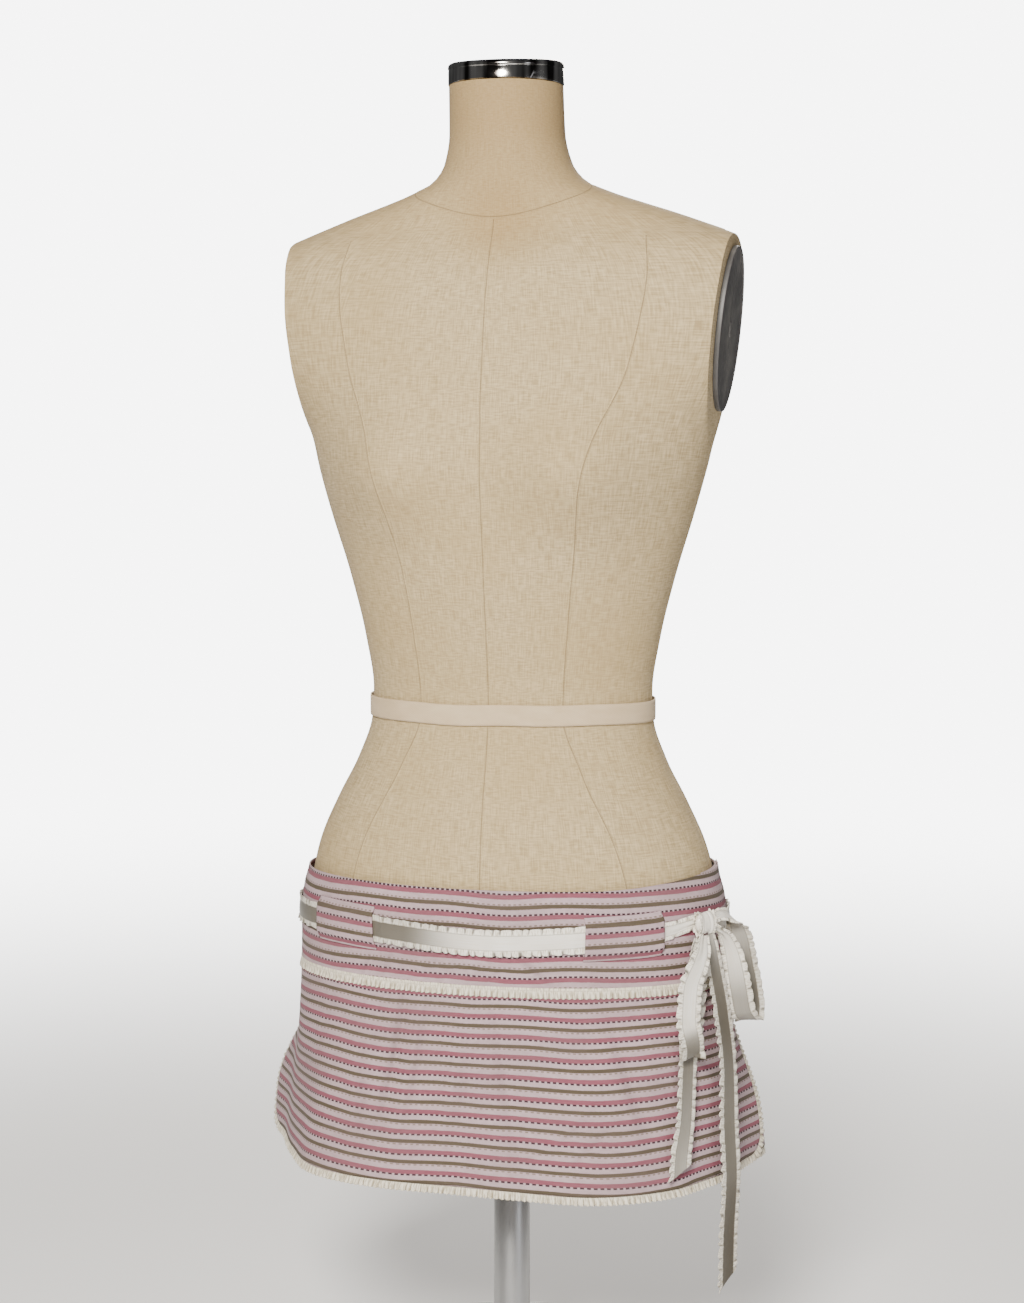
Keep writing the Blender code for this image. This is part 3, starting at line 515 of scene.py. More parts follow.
def neck_seam(t):
    angle = 360.0 * t
    return angle, 1.006 - 0.030 * max(0.0, math.cos(math.radians(angle))) ** 1.4


seam_strip("seam_centre_front", straight_seam(0.0, 0.440, 0.974), 120)
seam_strip("seam_centre_back", straight_seam(180.0, 0.440, 1.004), 120)
seam_strip("seam_neck", neck_seam, 120)
for side, word in ((1, "left"), (-1, "right")):
    seam_strip("seam_princess_front_" + word, princess_seam(side, False), 120)
    seam_strip("seam_princess_back_" + word, princess_seam(side, True), 120)
    seam_strip("seam_side_" + word, straight_seam(90.0 * side, 0.440, 0.800), 100)
    seam_strip("seam_shoulder_" + word, straight_seam(90.0 * side, 0.968, 1.004), 40)

# %% [markdown]
# ## Bright metal
#
# The neck cap is spun from sheet steel and chromium-plated; the stand's pole, collar and base are plated
# too. Chrome mirrors the room, so what the eye sees is dark and bright bands, broken only by hair-fine
# wiping scratches. This room is plain and gives no dark bands, so they are painted into the colour: upright
# bands of a darker tint are a painted reflection of the room, and on the stand's duller plating they are
# nearly even. Scratches are about 0.05 mm wide, far finer than a pixel, so they are drawn at 0.6 mm and very
# shallow.

# %% Chrome and plate finishes
SCRATCH = 0.0006
REFLECTION_BAND = 70.0


def make_chrome(name, tint, dark, rough_low, rough_high):
    chrome, tree, shader = new_finish(name, Metallic=1.0)
    spot = object_spot(tree)
    lines = noise_at(tree, scaled_spot(tree, spot, (60.0, 60.0, 1.0 / SCRATCH)), 1.0, 3.0)
    rough = ranged(tree, noise_at(tree, spot, 38.0, 4.0), 0.35, 0.7, rough_low, rough_high)
    # Upright bands of dark colour: a painted reflection of a room with dark and bright sides.
    reflection_bands = noise_at(tree, scaled_spot(tree, spot, (REFLECTION_BAND, REFLECTION_BAND, REFLECTION_BAND / 12.0)), 1.0, 2.0)
    colour = blended_colour(tree, ranged(tree, reflection_bands, 0.40, 0.58), dark, tint)
    link_finish(tree, shader, colour, lines, 0.06, 0.0002, rough)
    return chrome


def make_dark_plate():
    """Painted steel: satin dark grey, with the orange-peel of a sprayed coat and a few pale rubs."""
    paint, tree, shader = new_finish("painted_steel_plate", Coat_Weight=0.15, Coat_Roughness=0.4)
    spot = object_spot(tree)
    rubs = noise_at(tree, spot, 30.0, 5.0)
    peel = noise_at(tree, spot, 900.0, 1.0)
    colour = blended_colour(tree, ranged(tree, rubs, 0.45, 0.75), "#4f4d4c", "#77746f")
    link_finish(tree, shader, colour, peel, 0.2, 0.0001, ranged(tree, rubs, 0.0, 1.0, 0.42, 0.62))
    return paint


CHROME = make_chrome("chromed_steel", "#b4b2b0", "#2e2b2a", 0.08, 0.24)
PLATED = make_chrome("plated_stand_steel", "#b4b4b4", "#a6a6a6", 0.36, 0.40)
DARK_PLATE = make_dark_plate()
print("metal finishes:", CHROME.name, PLATED.name, DARK_PLATE.name)

# %% [markdown]
# ## Turned metal parts
#
# The cap, pole, collar and base are all round, as if turned on a lathe. Each starts as a short chain of
# points along its profile, and the spin operator carries that chain once round the axis.

# %% Turning helper, neck cap and stand
def turned(profile, steps, shift=0.0):
    """Spins a chain of (radius, height) points round the upright axis."""
    bm = bmesh.new()
    verts = [bm.verts.new((radius, shift, height)) for radius, height in profile]
    edges = [bm.edges.new(pair) for pair in zip(verts, verts[1:])]
    bmesh.ops.spin(
        bm, geom=verts + edges, cent=(0.0, shift, 0.0), axis=(0.0, 0.0, 1.0), angle=2.0 * math.pi,
        steps=steps, use_merge=True,
    )
    bmesh.ops.remove_doubles(bm, verts=bm.verts, dist=1e-6)
    bmesh.ops.recalc_face_normals(bm, faces=bm.faces)
    return bm


NECK_SHIFT = -0.019
CAP_RADIUS = 0.0463
CAP_LOW = NECK_TOP + 0.0003
CAP_DEEP = 0.019
CAP_TILT = math.tan(math.radians(5.0))
CAP_PROFILE = [(0.0, 0.0), (0.0455, 0.0), (CAP_RADIUS, 0.0008), (CAP_RADIUS, 0.0118), (0.0460, 0.0123),
               (0.0460, 0.0128), (0.0465, 0.0134), (0.0466, 0.0150), (0.0461, 0.0168), (0.0448, 0.0180),
               (0.0430, 0.0187), (0.0412, 0.0186), (0.0400, 0.0178), (0.0392, 0.0174), (0.0, 0.0174)]

cap = turned([(radius, CAP_LOW + rise) for radius, rise in CAP_PROFILE], 96, NECK_SHIFT)
for vert in cap.verts:
    vert.co.z += CAP_TILT * (vert.co.y - NECK_SHIFT) * (vert.co.z - CAP_LOW) / CAP_DEEP
finish_piece("spun_neck_cap", cap, CHROME, "neck_cap")

BASE_PROFILE = [(0.0, 0.0), (0.186, 0.0), (0.189, 0.001), (0.190, 0.003), (0.190, 0.009), (0.189, 0.0115),
                (0.187, 0.0133), (0.184, 0.0140), (0.0, 0.0140)]
POLE_PROFILE = [(0.0, 0.0143), (0.0150, 0.0143), (0.0150, 0.2675), (0.0148, 0.2677), (0.0, 0.2677)]
COLLAR_PROFILE = [(0.0153, 0.0143), (0.0300, 0.0143), (0.0300, 0.0165), (0.0290, 0.0180), (0.0250, 0.0215),
                  (0.0220, 0.0270), (0.0205, 0.0330), (0.0200, 0.0355), (0.0192, 0.0363), (0.0153, 0.0363),
                  (0.0153, 0.0143)]
for name, profile, solid in (
    ("stand_foot", BASE_PROFILE, "stand_base"),
    ("stand_tube", POLE_PROFILE, "stand_pole"),
    ("stand_sleeve", COLLAR_PROFILE, "stand_collar"),
):
    finish_piece(name, turned(profile, 96), PLATED, solid)

# %% [markdown]
# ## Armhole plates
#
# Each shoulder is closed by an oval plate of painted steel. It is a disc that is inset twice: the first
# ring is pressed down a little to leave a raised rim, and a small screw head holds the plate in the middle.

# %% Armhole plates
PLATE_HALF_WIDTH = 0.0500
PLATE_HALF_HEIGHT = 0.0660
PLATE_THICK = 0.0040
PLATE_GAP = 0.0003


def armhole_plate(name, side, solid):
    bm = bmesh.new()
    bmesh.ops.create_cone(bm, cap_ends=True, segments=96, radius1=1.0, radius2=1.0, depth=1.0)
    top = next(face for face in bm.faces if face.normal.z > 0.9)
    for thickness, depth in ((0.030, 0.0), (0.020, -0.22), (0.850, 0.0), (0.010, 0.25)):
        bmesh.ops.inset_region(bm, faces=[top], thickness=thickness, depth=depth, use_even_offset=True)
    for vert in bm.verts:
        across, along, rise = vert.co
        vert.co = (across * PLATE_HALF_WIDTH, along * PLATE_HALF_HEIGHT, (rise + 0.5) * PLATE_THICK)
    bm.normal_update()
    rims = [edge for edge in bm.edges if not edge.is_boundary and edge.calc_face_angle(0.0) > 1.0]
    bmesh.ops.bevel(bm, geom=rims, offset=0.0003, segments=2, profile=0.5, affect="EDGES", material=-1)
    point, normal = plate_plane(side)
    upright = Vector((side * math.sin(PLATE_LEAN), 0.0, math.cos(PLATE_LEAN)))
    forward = Vector((0.0, float(side), 0.0))
    for vert in bm.verts:
        vert.co = point + forward * vert.co.x + upright * vert.co.y + normal * (PLATE_GAP + vert.co.z)
    bmesh.ops.recalc_face_normals(bm, faces=bm.faces)
    finish_piece(name, bm, DARK_PLATE, solid, sharp_deg=35.0)


armhole_plate("shoulder_plate_left", 1, "armhole_plate_left")
armhole_plate("shoulder_plate_right", -1, "armhole_plate_right")

# %% [markdown]
# ## Waist tape
#
# A flat cotton tape marks the form's waist. It is one strip, laid round under a little tension, so it
# follows the form closely and its edges wander by only half a millimetre. Woven tape has a fine twill face
# and firm edges.

# %% Waist tape
TAPE_LOW = 0.5755
TAPE_HIGH = 0.5930
TAPE_GAP = 0.0004
TAPE_WALL = 0.0010
TAPE_RIDGE = 0.0013
WAVE_UNIT = 0.314


def make_tape_cotton():
    """Matt cotton twill; its slanting ridges are drawn 1.3 mm apart, coarser than the real 0.6 mm."""
    cotton, tree, shader = new_finish("cotton_twill_tape", Roughness=0.85, Sheen_Weight=0.12)
    uv = cut_uv(tree)
    slant = (0.0, 0.0, math.radians(58.0))
    slanted = add_node(tree, "ShaderNodeMapping", {"Vector": uv, "Rotation": slant}).outputs[0]
    waves = {"Vector": slanted, "Scale": WAVE_UNIT / TAPE_RIDGE, "Distortion": 0.6}
    ridges = add_node(tree, "ShaderNodeTexWave", waves).outputs["Fac"]
    colour = blended_colour(tree, woven_noise(tree, uv, 24.0, 9.0, 3.0), "#bba27e", "#dac6a4")
    colour = blended_colour(tree, maths(tree, "MULTIPLY", ridges, 0.22), colour, "#a18a68")
    link_finish(tree, shader, colour, ridges, 0.35, 0.0002)
    return cotton


def waist_reach(angle):
    """The form is widest at one edge of the tape, and the tape stands clear of both."""
    edges = (section_at(FORM_SECTIONS, FORM_CLOSE, height) for height in (TAPE_LOW, TAPE_HIGH))
    return max(ring_radius(section, angle) for section in edges) + TAPE_GAP


def place_tape(u, v):
    angle = 360.0 * u
    wander = 0.0004 * math.sin(math.radians(3.0 * angle))
    wander += 0.0003 * math.sin(math.radians(7.0 * angle + 40.0))
    height = TAPE_LOW + 0.0005 + (TAPE_HIGH - TAPE_LOW - 0.0010) * v + wander
    cushion = 0.0002 * (1.0 - (2.0 * v - 1.0) ** 8)
    return polar(angle, waist_reach(angle) + cushion, height), (0.620 * u, 0.0175 * v)


waist_ribbon = finish_piece(
    "woven_waist_tape", laid_grid(240, 10, place_tape, closed=True), make_tape_cotton(), "waist_tape",
    TAPE_WALL,
)
tape_length = sum(
    (polar(a + 1, waist_reach(a + 1), 0.0) - polar(a, waist_reach(a), 0.0)).length for a in range(360)
)
print("the tape is", round(tape_length, 3), "m long")

# %% [markdown]
# ## Striped cotton
#
# The skirt is cut from a yarn-dyed cotton shirting. Its stripes repeat every 15.7 mm: a rose band, a row of
# plum dashes beside it, pale ground, a brown band with a row of fine teeth on one side, and ground again.
# Yarn-dyed stripes have soft edges that waver with the threads. The pattern is worked out from the UV map,
# which is in metres of flat cloth, so the stripes follow every fold, and each band's place is simply its
# distance within one repeat.

# %% Striped cotton finish
REPEAT = 0.0157
ROSE_HALF = 0.0017
DASH_AT = 0.0023
DASH_HALF = 0.0007
DASH_PITCH = 0.0042
DASH_LENGTH = 0.0026
BROWN_HALF = 0.0015
TEETH_AT = REPEAT / 2.0 + 0.0023
TEETH_HALF = 0.0005
TEETH_PITCH = 0.0042
TEETH_LENGTH = 0.0022
EDGE_SOFT = 0.00022
COTTON_THREAD = 0.0009


def near_line(tree, along, middle, pitch, half, soft):
    """1 within half of lines that repeat at a pitch, 0 away from them."""
    away = maths(tree, "PINGPONG", maths(tree, "SUBTRACT", along, middle), pitch / 2.0)
    return ranged(tree, away, half + soft, half - soft, 0.0, 1.0, "SMOOTHSTEP")


def make_striped_cotton():
    cotton, tree, shader = new_finish("yarn_dyed_striped_cotton", Roughness=0.86, Sheen_Weight=0.04)
    uv = cut_uv(tree)
    parts = add_node(tree, "ShaderNodeSeparateXYZ", {0: uv})
    along = parts.outputs["X"]
    drift = maths(tree, "MULTIPLY_ADD", woven_noise(tree, uv, 30.0, 12.0, 2.0), 0.0012, parts.outputs["Y"])
    drift = maths(tree, "MULTIPLY_ADD", woven_noise(tree, uv, 1.6, 4.0, 1.0), 0.0004, drift)
    across = maths(tree, "SUBTRACT", drift, 0.0008)

    def row(middle, half, soft):
        return near_line(tree, across, middle, REPEAT, half, soft)

    def dotted(middle, half, pitch, length):
        marks = near_line(tree, along, 0.0, pitch, length / 2.0, EDGE_SOFT * 1.5)
        return maths(tree, "MULTIPLY", row(middle, half, EDGE_SOFT), marks)

    dashes = dotted(DASH_AT, DASH_HALF, DASH_PITCH, DASH_LENGTH)
    teeth = dotted(TEETH_AT, TEETH_HALF, TEETH_PITCH, TEETH_LENGTH)
    streaks = woven_noise(tree, uv, 9.0, 0.8, 2.0)
    colour = blended_colour(tree, woven_noise(tree, uv, 6.0, 2.2, 3.0), "#a38d91", "#c2abb0")
    rose_yarn = blended_colour(tree, streaks, "#723948", "#955764")
    brown_yarn = blended_colour(tree, streaks, "#43392b", "#584d3b")
    colour = blended_colour(tree, row(0.0, ROSE_HALF, EDGE_SOFT * 1.6), colour, rose_yarn)
    colour = blended_colour(tree, row(REPEAT / 2.0, BROWN_HALF, EDGE_SOFT * 1.6), colour, brown_yarn)
    colour = blended_colour(tree, maths(tree, "MULTIPLY", teeth, 0.75), colour, "#62563f")
    colour = blended_colour(tree, dashes, colour, "#2a0a1c")
    # Broad soft darker patches: painted shade of the cloth's soft crumples, with some soiling.
    crease_shade_and_soiling = ranged(tree, woven_noise(tree, uv, 70.0, 45.0, 3.0), 0.40, 0.70, 0.0, 0.26)
    colour = blended_colour(tree, crease_shade_and_soiling, colour, "#6e5c5a")
    colour = blended_colour(tree, fold_shade(tree), colour, "#4a3a3a")
    threads = {"Vector": uv, "Scale": WAVE_UNIT / COTTON_THREAD}
    raised = add_node(tree, "ShaderNodeTexWave", threads, bands_direction="Y").outputs["Fac"]
    for relief, weight in ((dashes, 1.5), (teeth, 1.0), (woven_noise(tree, uv, 16.0, 9.0, 3.0), 5.0)):
        raised = maths(tree, "MULTIPLY_ADD", relief, weight, raised)
    link_finish(tree, shader, colour, raised, 0.6, 0.00025)
    return cotton


STRIPED_COTTON = make_striped_cotton()
print("stripes repeat every", REPEAT * 1000, "mm, plum dashes every", DASH_PITCH * 1000, "mm")

# %% [markdown]
# ## How the skirt hangs
#
# Round the hips the cloth is held by the yoke and the ribbon, so it is nearly smooth, with small drag
# creases. Below the yoke seam the flared body falls into soft flutes that deepen towards the hem. One rule
# gives the distance from the axis for every layer, so that two layers with the same rule, a little apart,
# can never cut through each other. The creases are shallow, so the side of each that turns from the light
# is also shaded a little through fold.

# %% Folds, creases and skirt surface
CLOTH = 0.0011
GAP = 0.0004
SEAM_GAP = 0.0003
UNDERLAP_DROP = CLOTH + 0.0008
HEM = 0.2165
SEAM = 0.371
SKIRT_TOP = 0.450
HIP_RISE = 0.008
FOLDS_START = 0.352
FOLDS_FULL = 0.246
SLIT_ANGLE = -97.0
WRAP_END_ANGLE = 99.0
UNDER_YOKE_END = 80.0
UNDER_PANEL_START = -88.0
UNDER_PANEL_END = 84.0
CORNER_RADIUS = 0.020

FLUTES = [
    # angle, spread in degrees, depth at the hem
    (-102.0, 11.0, 0.0340), (-70.0, 12.0, -0.0095), (-12.0, 14.0, -0.0025), (37.0, 16.0, 0.0090),
    (70.0, 9.0, -0.0060), (104.0, 10.0, 0.0195), (122.0, 8.0, -0.0040), (140.0, 13.0, 0.0070),
    (160.0, 9.0, -0.0040), (180.0, 13.0, 0.0060), (-160.0, 9.0, -0.0040), (-138.0, 13.0, 0.0080),
    (-121.0, 8.0, -0.0030),
]
CREASES = [
    # angle, height, lean in degrees from upright, half length, half width, depth
    (-33.0, 0.318, 4.0, 0.055, 0.0050, -0.0020), (-27.0, 0.305, 6.0, 0.050, 0.0060, 0.0014),
    (-45.0, 0.280, -8.0, 0.045, 0.0080, 0.0016), (-10.0, 0.290, 10.0, 0.050, 0.0090, 0.0014),
    (12.0, 0.300, -12.0, 0.055, 0.0085, -0.0015), (30.0, 0.262, 48.0, 0.030, 0.0034, 0.0017),
    (40.0, 0.256, 48.0, 0.028, 0.0034, -0.0017), (52.0, 0.300, -8.0, 0.050, 0.0070, -0.0015),
    (64.0, 0.280, 6.0, 0.050, 0.0060, 0.0014), (-62.0, 0.330, 12.0, 0.040, 0.0060, 0.0012),
    (-24.0, 0.384, 62.0, 0.016, 0.0032, 0.0017), (-14.0, 0.381, 55.0, 0.018, 0.0032, -0.0015),
    (-3.0, 0.382, 60.0, 0.018, 0.0034, 0.0017), (8.0, 0.383, 64.0, 0.016, 0.0030, -0.0015),
    (22.0, 0.385, -60.0, 0.018, 0.0034, 0.0014), (-40.0, 0.386, 30.0, 0.014, 0.0030, 0.0013),
    (-46.0, 0.385, 28.0, 0.014, 0.0028, -0.0012), (150.0, 0.300, 6.0, 0.060, 0.0080, 0.0018),
    (170.0, 0.290, -8.0, 0.055, 0.0070, -0.0016), (-172.0, 0.300, 8.0, 0.055, 0.0080, 0.0018),
    (-150.0, 0.310, -6.0, 0.050, 0.0070, -0.0015), (-112.0, 0.320, 6.0, 0.040, 0.0080, 0.0015),
    (175.0, 0.388, 58.0, 0.018, 0.0034, 0.0013), (-165.0, 0.386, -60.0, 0.018, 0.0034, -0.0013),
]
MEAN_RADIUS = 0.150
CREASE_DARK = 420.0


def signed_turn(angle_deg):
    return (angle_deg + 180.0) % 360.0 - 180.0


def fold_depth(angle_deg, height):
    share = smooth_step(0.0, 1.0, (FOLDS_START - height) / (FOLDS_START - FOLDS_FULL))
    depths = (depth * bell(signed_turn(angle_deg - middle), spread) for middle, spread, depth in FLUTES)
    return share * sum(depths)


CREASE_ROWS = [
    (angle, height, math.cos(math.radians(lean)), math.sin(math.radians(lean)), length, width, depth)
    for angle, height, lean, length, width, depth in CREASES
]


def crease_depth(angle_deg, height):
    total = 0.0
    for angle, middle, cos_lean, sin_lean, length, width, depth in CREASE_ROWS:
        sideways = math.radians(signed_turn(angle_deg - angle)) * MEAN_RADIUS
        upward = height - middle
        across = (sideways * cos_lean - upward * sin_lean) / width
        along = (sideways * sin_lean + upward * cos_lean) / length
        if abs(across) < 3.0 and abs(along) < 2.5:
            total += depth * math.exp(-across * across - along * along)
    return total


def crease_shade(angle_deg, height):
    """How much a crease turns the cloth away from a light that comes a little from the left."""
    sideways = crease_depth(angle_deg + 0.5, height + 0.0008) - crease_depth(angle_deg - 0.5, height - 0.0008)
    return min(0.55, max(0.0, -sideways) * CREASE_DARK)


def cloth_radius(angle_deg, height):
    """The inner face of the outer layer of cloth."""
    section = section_at(SKIRT_SECTIONS, SKIRT_CLOSE, height)
    return ring_radius(section, angle_deg) + fold_depth(angle_deg, height) + crease_depth(angle_deg, height)


def skirt_point(angle_deg, height, outwards):
    return polar(angle_deg, cloth_radius(angle_deg, height) + outwards, height)


def lengths_round(height):
    """Length of cloth from angle 0 to every whole degree, once round."""
    lengths = [0.0]
    for degree in range(360):
        step = skirt_point(degree + 1, height, 0.0) - skirt_point(degree, height, 0.0)
        lengths.append(lengths[-1] + step.length)
    return lengths


ROUND_LENGTHS = lengths_round(0.330)


def cloth_along(angle_deg):
    """How far along the stripes an angle is, in metres of cloth, counted from centre front."""
    turns, degree = divmod(angle_deg, 360.0)
    low = int(degree)
    inside = ROUND_LENGTHS[low] + (ROUND_LENGTHS[min(low + 1, 360)] - ROUND_LENGTHS[low]) * (degree - low)
    return turns * ROUND_LENGTHS[360] + inside


print("once round the body is", round(ROUND_LENGTHS[360], 3), "m of cloth")

# %% [markdown]
# ## Yoke and body panels
#
# The yoke and the body are each cut as two pieces: one across the front and one round the back. At the left
# hip the front laps over the back, and at the other side the panel's corner is rounded and hangs free over
# the back panel. The body's stripes run level. The yoke is cut the other way up, so its teeth and dashes
# point upwards.

# %% Cloth pieces
ROSE_BELOW_SEAM = 0.0065
ROSE_ABOVE_SEAM = 0.0077
YOKE_REPEAT = 0.0169
BODY_SLANT = 1.016


def flush(_angle):
    return 0.0


def sunk_at_wrap(angle):
    """The under end of the yoke lies one layer further in."""
    return UNDERLAP_DROP * (1.0 - smooth_step(104.0, 116.0, angle % 360.0))


def sunk_at_both_sides(angle):
    """The back panel lies one layer further in at the wrap and at the free side edge."""
    turned_by = angle % 360.0
    return UNDERLAP_DROP * (1.0 - smooth_step(104.0, 116.0, turned_by) + smooth_step(244.0, 256.0, turned_by))


def top_height(angle):
    turned_by = angle % 360.0
    rise = HIP_RISE * smooth_step(45.0, 92.0, turned_by)
    return SKIRT_TOP + rise * (1.0 - smooth_step(100.0, 160.0, turned_by))


def corner_rise(angle):
    """How far a rounded corner lifts the lower edge, and which way that edge faces there."""
    edge = WRAP_END_ANGLE if angle > 0.0 else SLIT_ANGLE
    to_edge = math.radians(abs(edge - angle)) * cloth_radius(edge, HEM)
    across = max(0.0, CORNER_RADIUS - to_edge)
    drop = math.sqrt(CORNER_RADIUS**2 - across**2)
    return CORNER_RADIUS - drop, -math.degrees(math.atan2(drop, across))


def front_panel_low(angle):
    return HEM + corner_rise(angle)[0]


def body_repeat(height):
    return (SEAM - height) * BODY_SLANT - ROSE_BELOW_SEAM


def yoke_repeat(height):
    return (height - SEAM - ROSE_ABOVE_SEAM) * REPEAT / YOKE_REPEAT


def stripe_wander(angle, height):
    """Hand-cut cloth is never quite level: the stripes rise and dip by about a millimetre."""
    turned_by = math.radians(angle)
    return 0.0007 * math.sin(5.0 * turned_by + 1.0) + 0.0005 * math.sin(9.0 * turned_by + 14.0 * height)


def even_angles(start, end, step, dense_ends=False):
    """Evenly spaced angles, or closer ones near both ends, where the corners are rounded."""
    if not dense_ends:
        count = round((end - start) / step)
        return [start + (end - start) * k / count for k in range(count + 1)]
    zone = 7.5
    fine = [zone * (k / 20.0) ** 1.5 for k in range(21)]
    middle = even_angles(start + zone, end - zone, step)
    return [start + f for f in fine] + middle[1:-1] + [end - f for f in reversed(fine)]


def cloth_piece(name, angles, rows, low, high, sunk, repeat, solid):
    def place(u, v):
        angle = angles[round(u * (len(angles) - 1))]
        height = low(angle) + (high(angle) - low(angle)) * v
        spot = (cloth_along(angle), repeat(height) + stripe_wander(angle, height))
        return skirt_point(angle, height, -sunk(angle)), spot, crease_shade(angle, height)

    grid = laid_grid(len(angles) - 1, rows, place)
    return finish_piece(name, grid, STRIPED_COTTON, solid, CLOTH)


def length_between(start, end, height):
    degrees = range(int(start), int(end))
    return sum((skirt_point(a + 1, height, 0.0) - skirt_point(a, height, 0.0)).length for a in degrees)


CLOTH_STEP = 0.75
HIP_HALF_WIDTH = 0.170
back_meet = 360.0 + SLIT_ANGLE - math.degrees(SEAM_GAP / HIP_HALF_WIDTH)
under_end = 360.0 + UNDER_PANEL_START
yoke_low = SEAM + SEAM_GAP
yoke_front = cloth_piece(
    "hip_yoke_front", even_angles(SLIT_ANGLE, WRAP_END_ANGLE, CLOTH_STEP), 30, lambda _a: yoke_low,
    top_height, flush, yoke_repeat, "yoke_front",
)
yoke_back = cloth_piece(
    "hip_yoke_back", even_angles(UNDER_YOKE_END, back_meet, CLOTH_STEP), 30, lambda _a: yoke_low, top_height,
    sunk_at_wrap, yoke_repeat, "yoke_back",
)
body_front = cloth_piece(
    "body_panel_front", even_angles(SLIT_ANGLE, WRAP_END_ANGLE, CLOTH_STEP, True), 60, front_panel_low,
    lambda _a: SEAM, flush, body_repeat, "panel_front",
)
body_back = cloth_piece(
    "body_panel_back", even_angles(UNDER_PANEL_END, under_end, CLOTH_STEP), 60, lambda _a: HEM,
    lambda _a: SEAM, sunk_at_both_sides, body_repeat, "panel_back",
)
for word, start, end in (("front", SLIT_ANGLE, WRAP_END_ANGLE), ("back", UNDER_PANEL_END, under_end)):
    print(word, "panel:", round(length_between(start, end, SEAM), 3), "m at the seam,",
          round(length_between(start, end, HEM), 3), "m at the hem")
print("yoke:", round(length_between(SLIT_ANGLE, WRAP_END_ANGLE, 0.41), 3), "m in front,",
      round(length_between(UNDER_YOKE_END, back_meet, 0.41), 3), "m behind")

# %% [markdown]
# ## Gathered trim
#
# The edges carry a narrow cream frill: a ribbon about 10 mm wide, gathered along one edge, so that its free
# edge ripples. It is made as a strip along a path on the cloth. Near the sewn edge it lies flat, and a wave
# about 4.5 mm long grows towards the free edge, with every wave a little different in length and height, as
# gathering leaves them. The valleys between the ripples are shaded through fold.

# %% Trim finish
def make_trim_cotton():
    """Ivory cotton: matt, with painted shade between its fine gathers and between the ripples, and a line of
    stitches.
    """
    cotton, tree, shader = new_finish("gathered_ivory_cotton", Roughness=0.8, Sheen_Weight=0.15)
    uv = cut_uv(tree)
    parts = add_node(tree, "ShaderNodeSeparateXYZ", {0: uv})
    gathers = woven_noise(tree, uv, 1.1, 6.0, 2.0)
    # Darker streaks between the fine gathers are painted shade; the same noise is also the bump.
    colour = blended_colour(tree, ranged(tree, gathers, 0.38, 0.58), "#b9ae96", "#e9e1ce")
    colour = blended_colour(tree, fold_shade(tree), colour, "#74664c")
    stitch_row = near_line(tree, parts.outputs["Y"], 0.0, 1.0, 0.00025, 0.00015)
    stitches = near_line(tree, parts.outputs["X"], 0.0, 0.0026, 0.0009, 0.0002)
    colour = blended_colour(tree, maths(tree, "MULTIPLY", stitch_row, stitches), colour, "#b9ad9c")
    link_finish(tree, shader, colour, gathers, 0.5, 0.0005)
    return cotton


TRIM_COTTON = make_trim_cotton()
print("trim finish:", TRIM_COTTON.name)

# %% Trim on a path
TRIM_WIDTH = 0.0060
TRIM_HEADER = 0.0022
TRIM_WALL = 0.0004
TRIM_PITCH = 0.0045
TRIM_SAMPLE = 0.00065
TRIM_ROWS = 8
OVER_SEAM = CLOTH + 0.0003


def resampled(stops, sample):
    """Stops (angle, height, heading) at even distances along the cloth, with the distance added."""
    distances = [0.0]
    for a, b in zip(stops, stops[1:]):
        distances.append(distances[-1] + (skirt_point(b[0], b[1], 0.0) - skirt_point(a[0], a[1], 0.0)).length)
    count = round(distances[-1] / sample)
    made = []
    i = 0
    for step in range(count + 1):
        distance = distances[-1] * step / count
        while i < len(stops) - 2 and distances[i + 1] < distance:
            i += 1
        share = (distance - distances[i]) / max(1e-9, distances[i + 1] - distances[i])
        made.append([a + (b - a) * share for a, b in zip(stops[i], stops[i + 1])] + [distance])
    return made


def gather_wave(distance):
    """A ripple from -1 to 1 whose length and height vary a little, the same in every run."""
    slow = 0.35 * math.sin(distance * 311.0) + 0.25 * math.sin(distance * 733.0 + 1.0)
    phase = 2.0 * math.pi * distance / TRIM_PITCH + 1.6 * slow
    height = 0.85 + 0.25 * math.sin(distance * 457.0 + 2.0)
    return height * (math.sin(phase) + 0.28 * math.sin(2.0 * phase + 0.7))


def gathered_trim(name, stops, sunk, base_lift, header_lift, depth, solid):
    """A frill whose width lies in the cloth's own surface, out from the path, towards each stop's heading."""
    samples = resampled(stops, TRIM_SAMPLE)
    last = len(samples) - 1

    def place(u, v):
        angle, height, heading, distance = samples[round(u * last)]
        reach = -TRIM_HEADER + (TRIM_HEADER + TRIM_WIDTH) * v
        free = max(0.0, reach) / TRIM_WIDTH
        ripple = gather_wave(distance)
        reach += 0.0003 * free * math.sin(2.0 * math.pi * distance / TRIM_PITCH + 0.9)
        heading = math.radians(heading)
        radius = cloth_radius(angle, height)
        over = angle + math.degrees(reach * math.cos(heading) / radius)
        level = height + reach * math.sin(heading)
        lift = header_lift + (base_lift - header_lift) * smooth_step(-0.0002, 0.0012, reach)
        lift += depth * (0.10 + 0.90 * free) * (1.0 + ripple) * smooth_step(-0.0004, 0.0022, reach)
        valley = 0.75 * smooth_step(0.1, 1.0, -ripple) * smooth_step(0.0, 0.5, free)
        return skirt_point(over, level, lift - sunk(angle)), (distance, reach), valley

    print(name, "runs", round(samples[-1][3], 3), "m")
    return finish_piece(name, laid_grid(last, TRIM_ROWS, place), TRIM_COTTON, solid, TRIM_WALL)


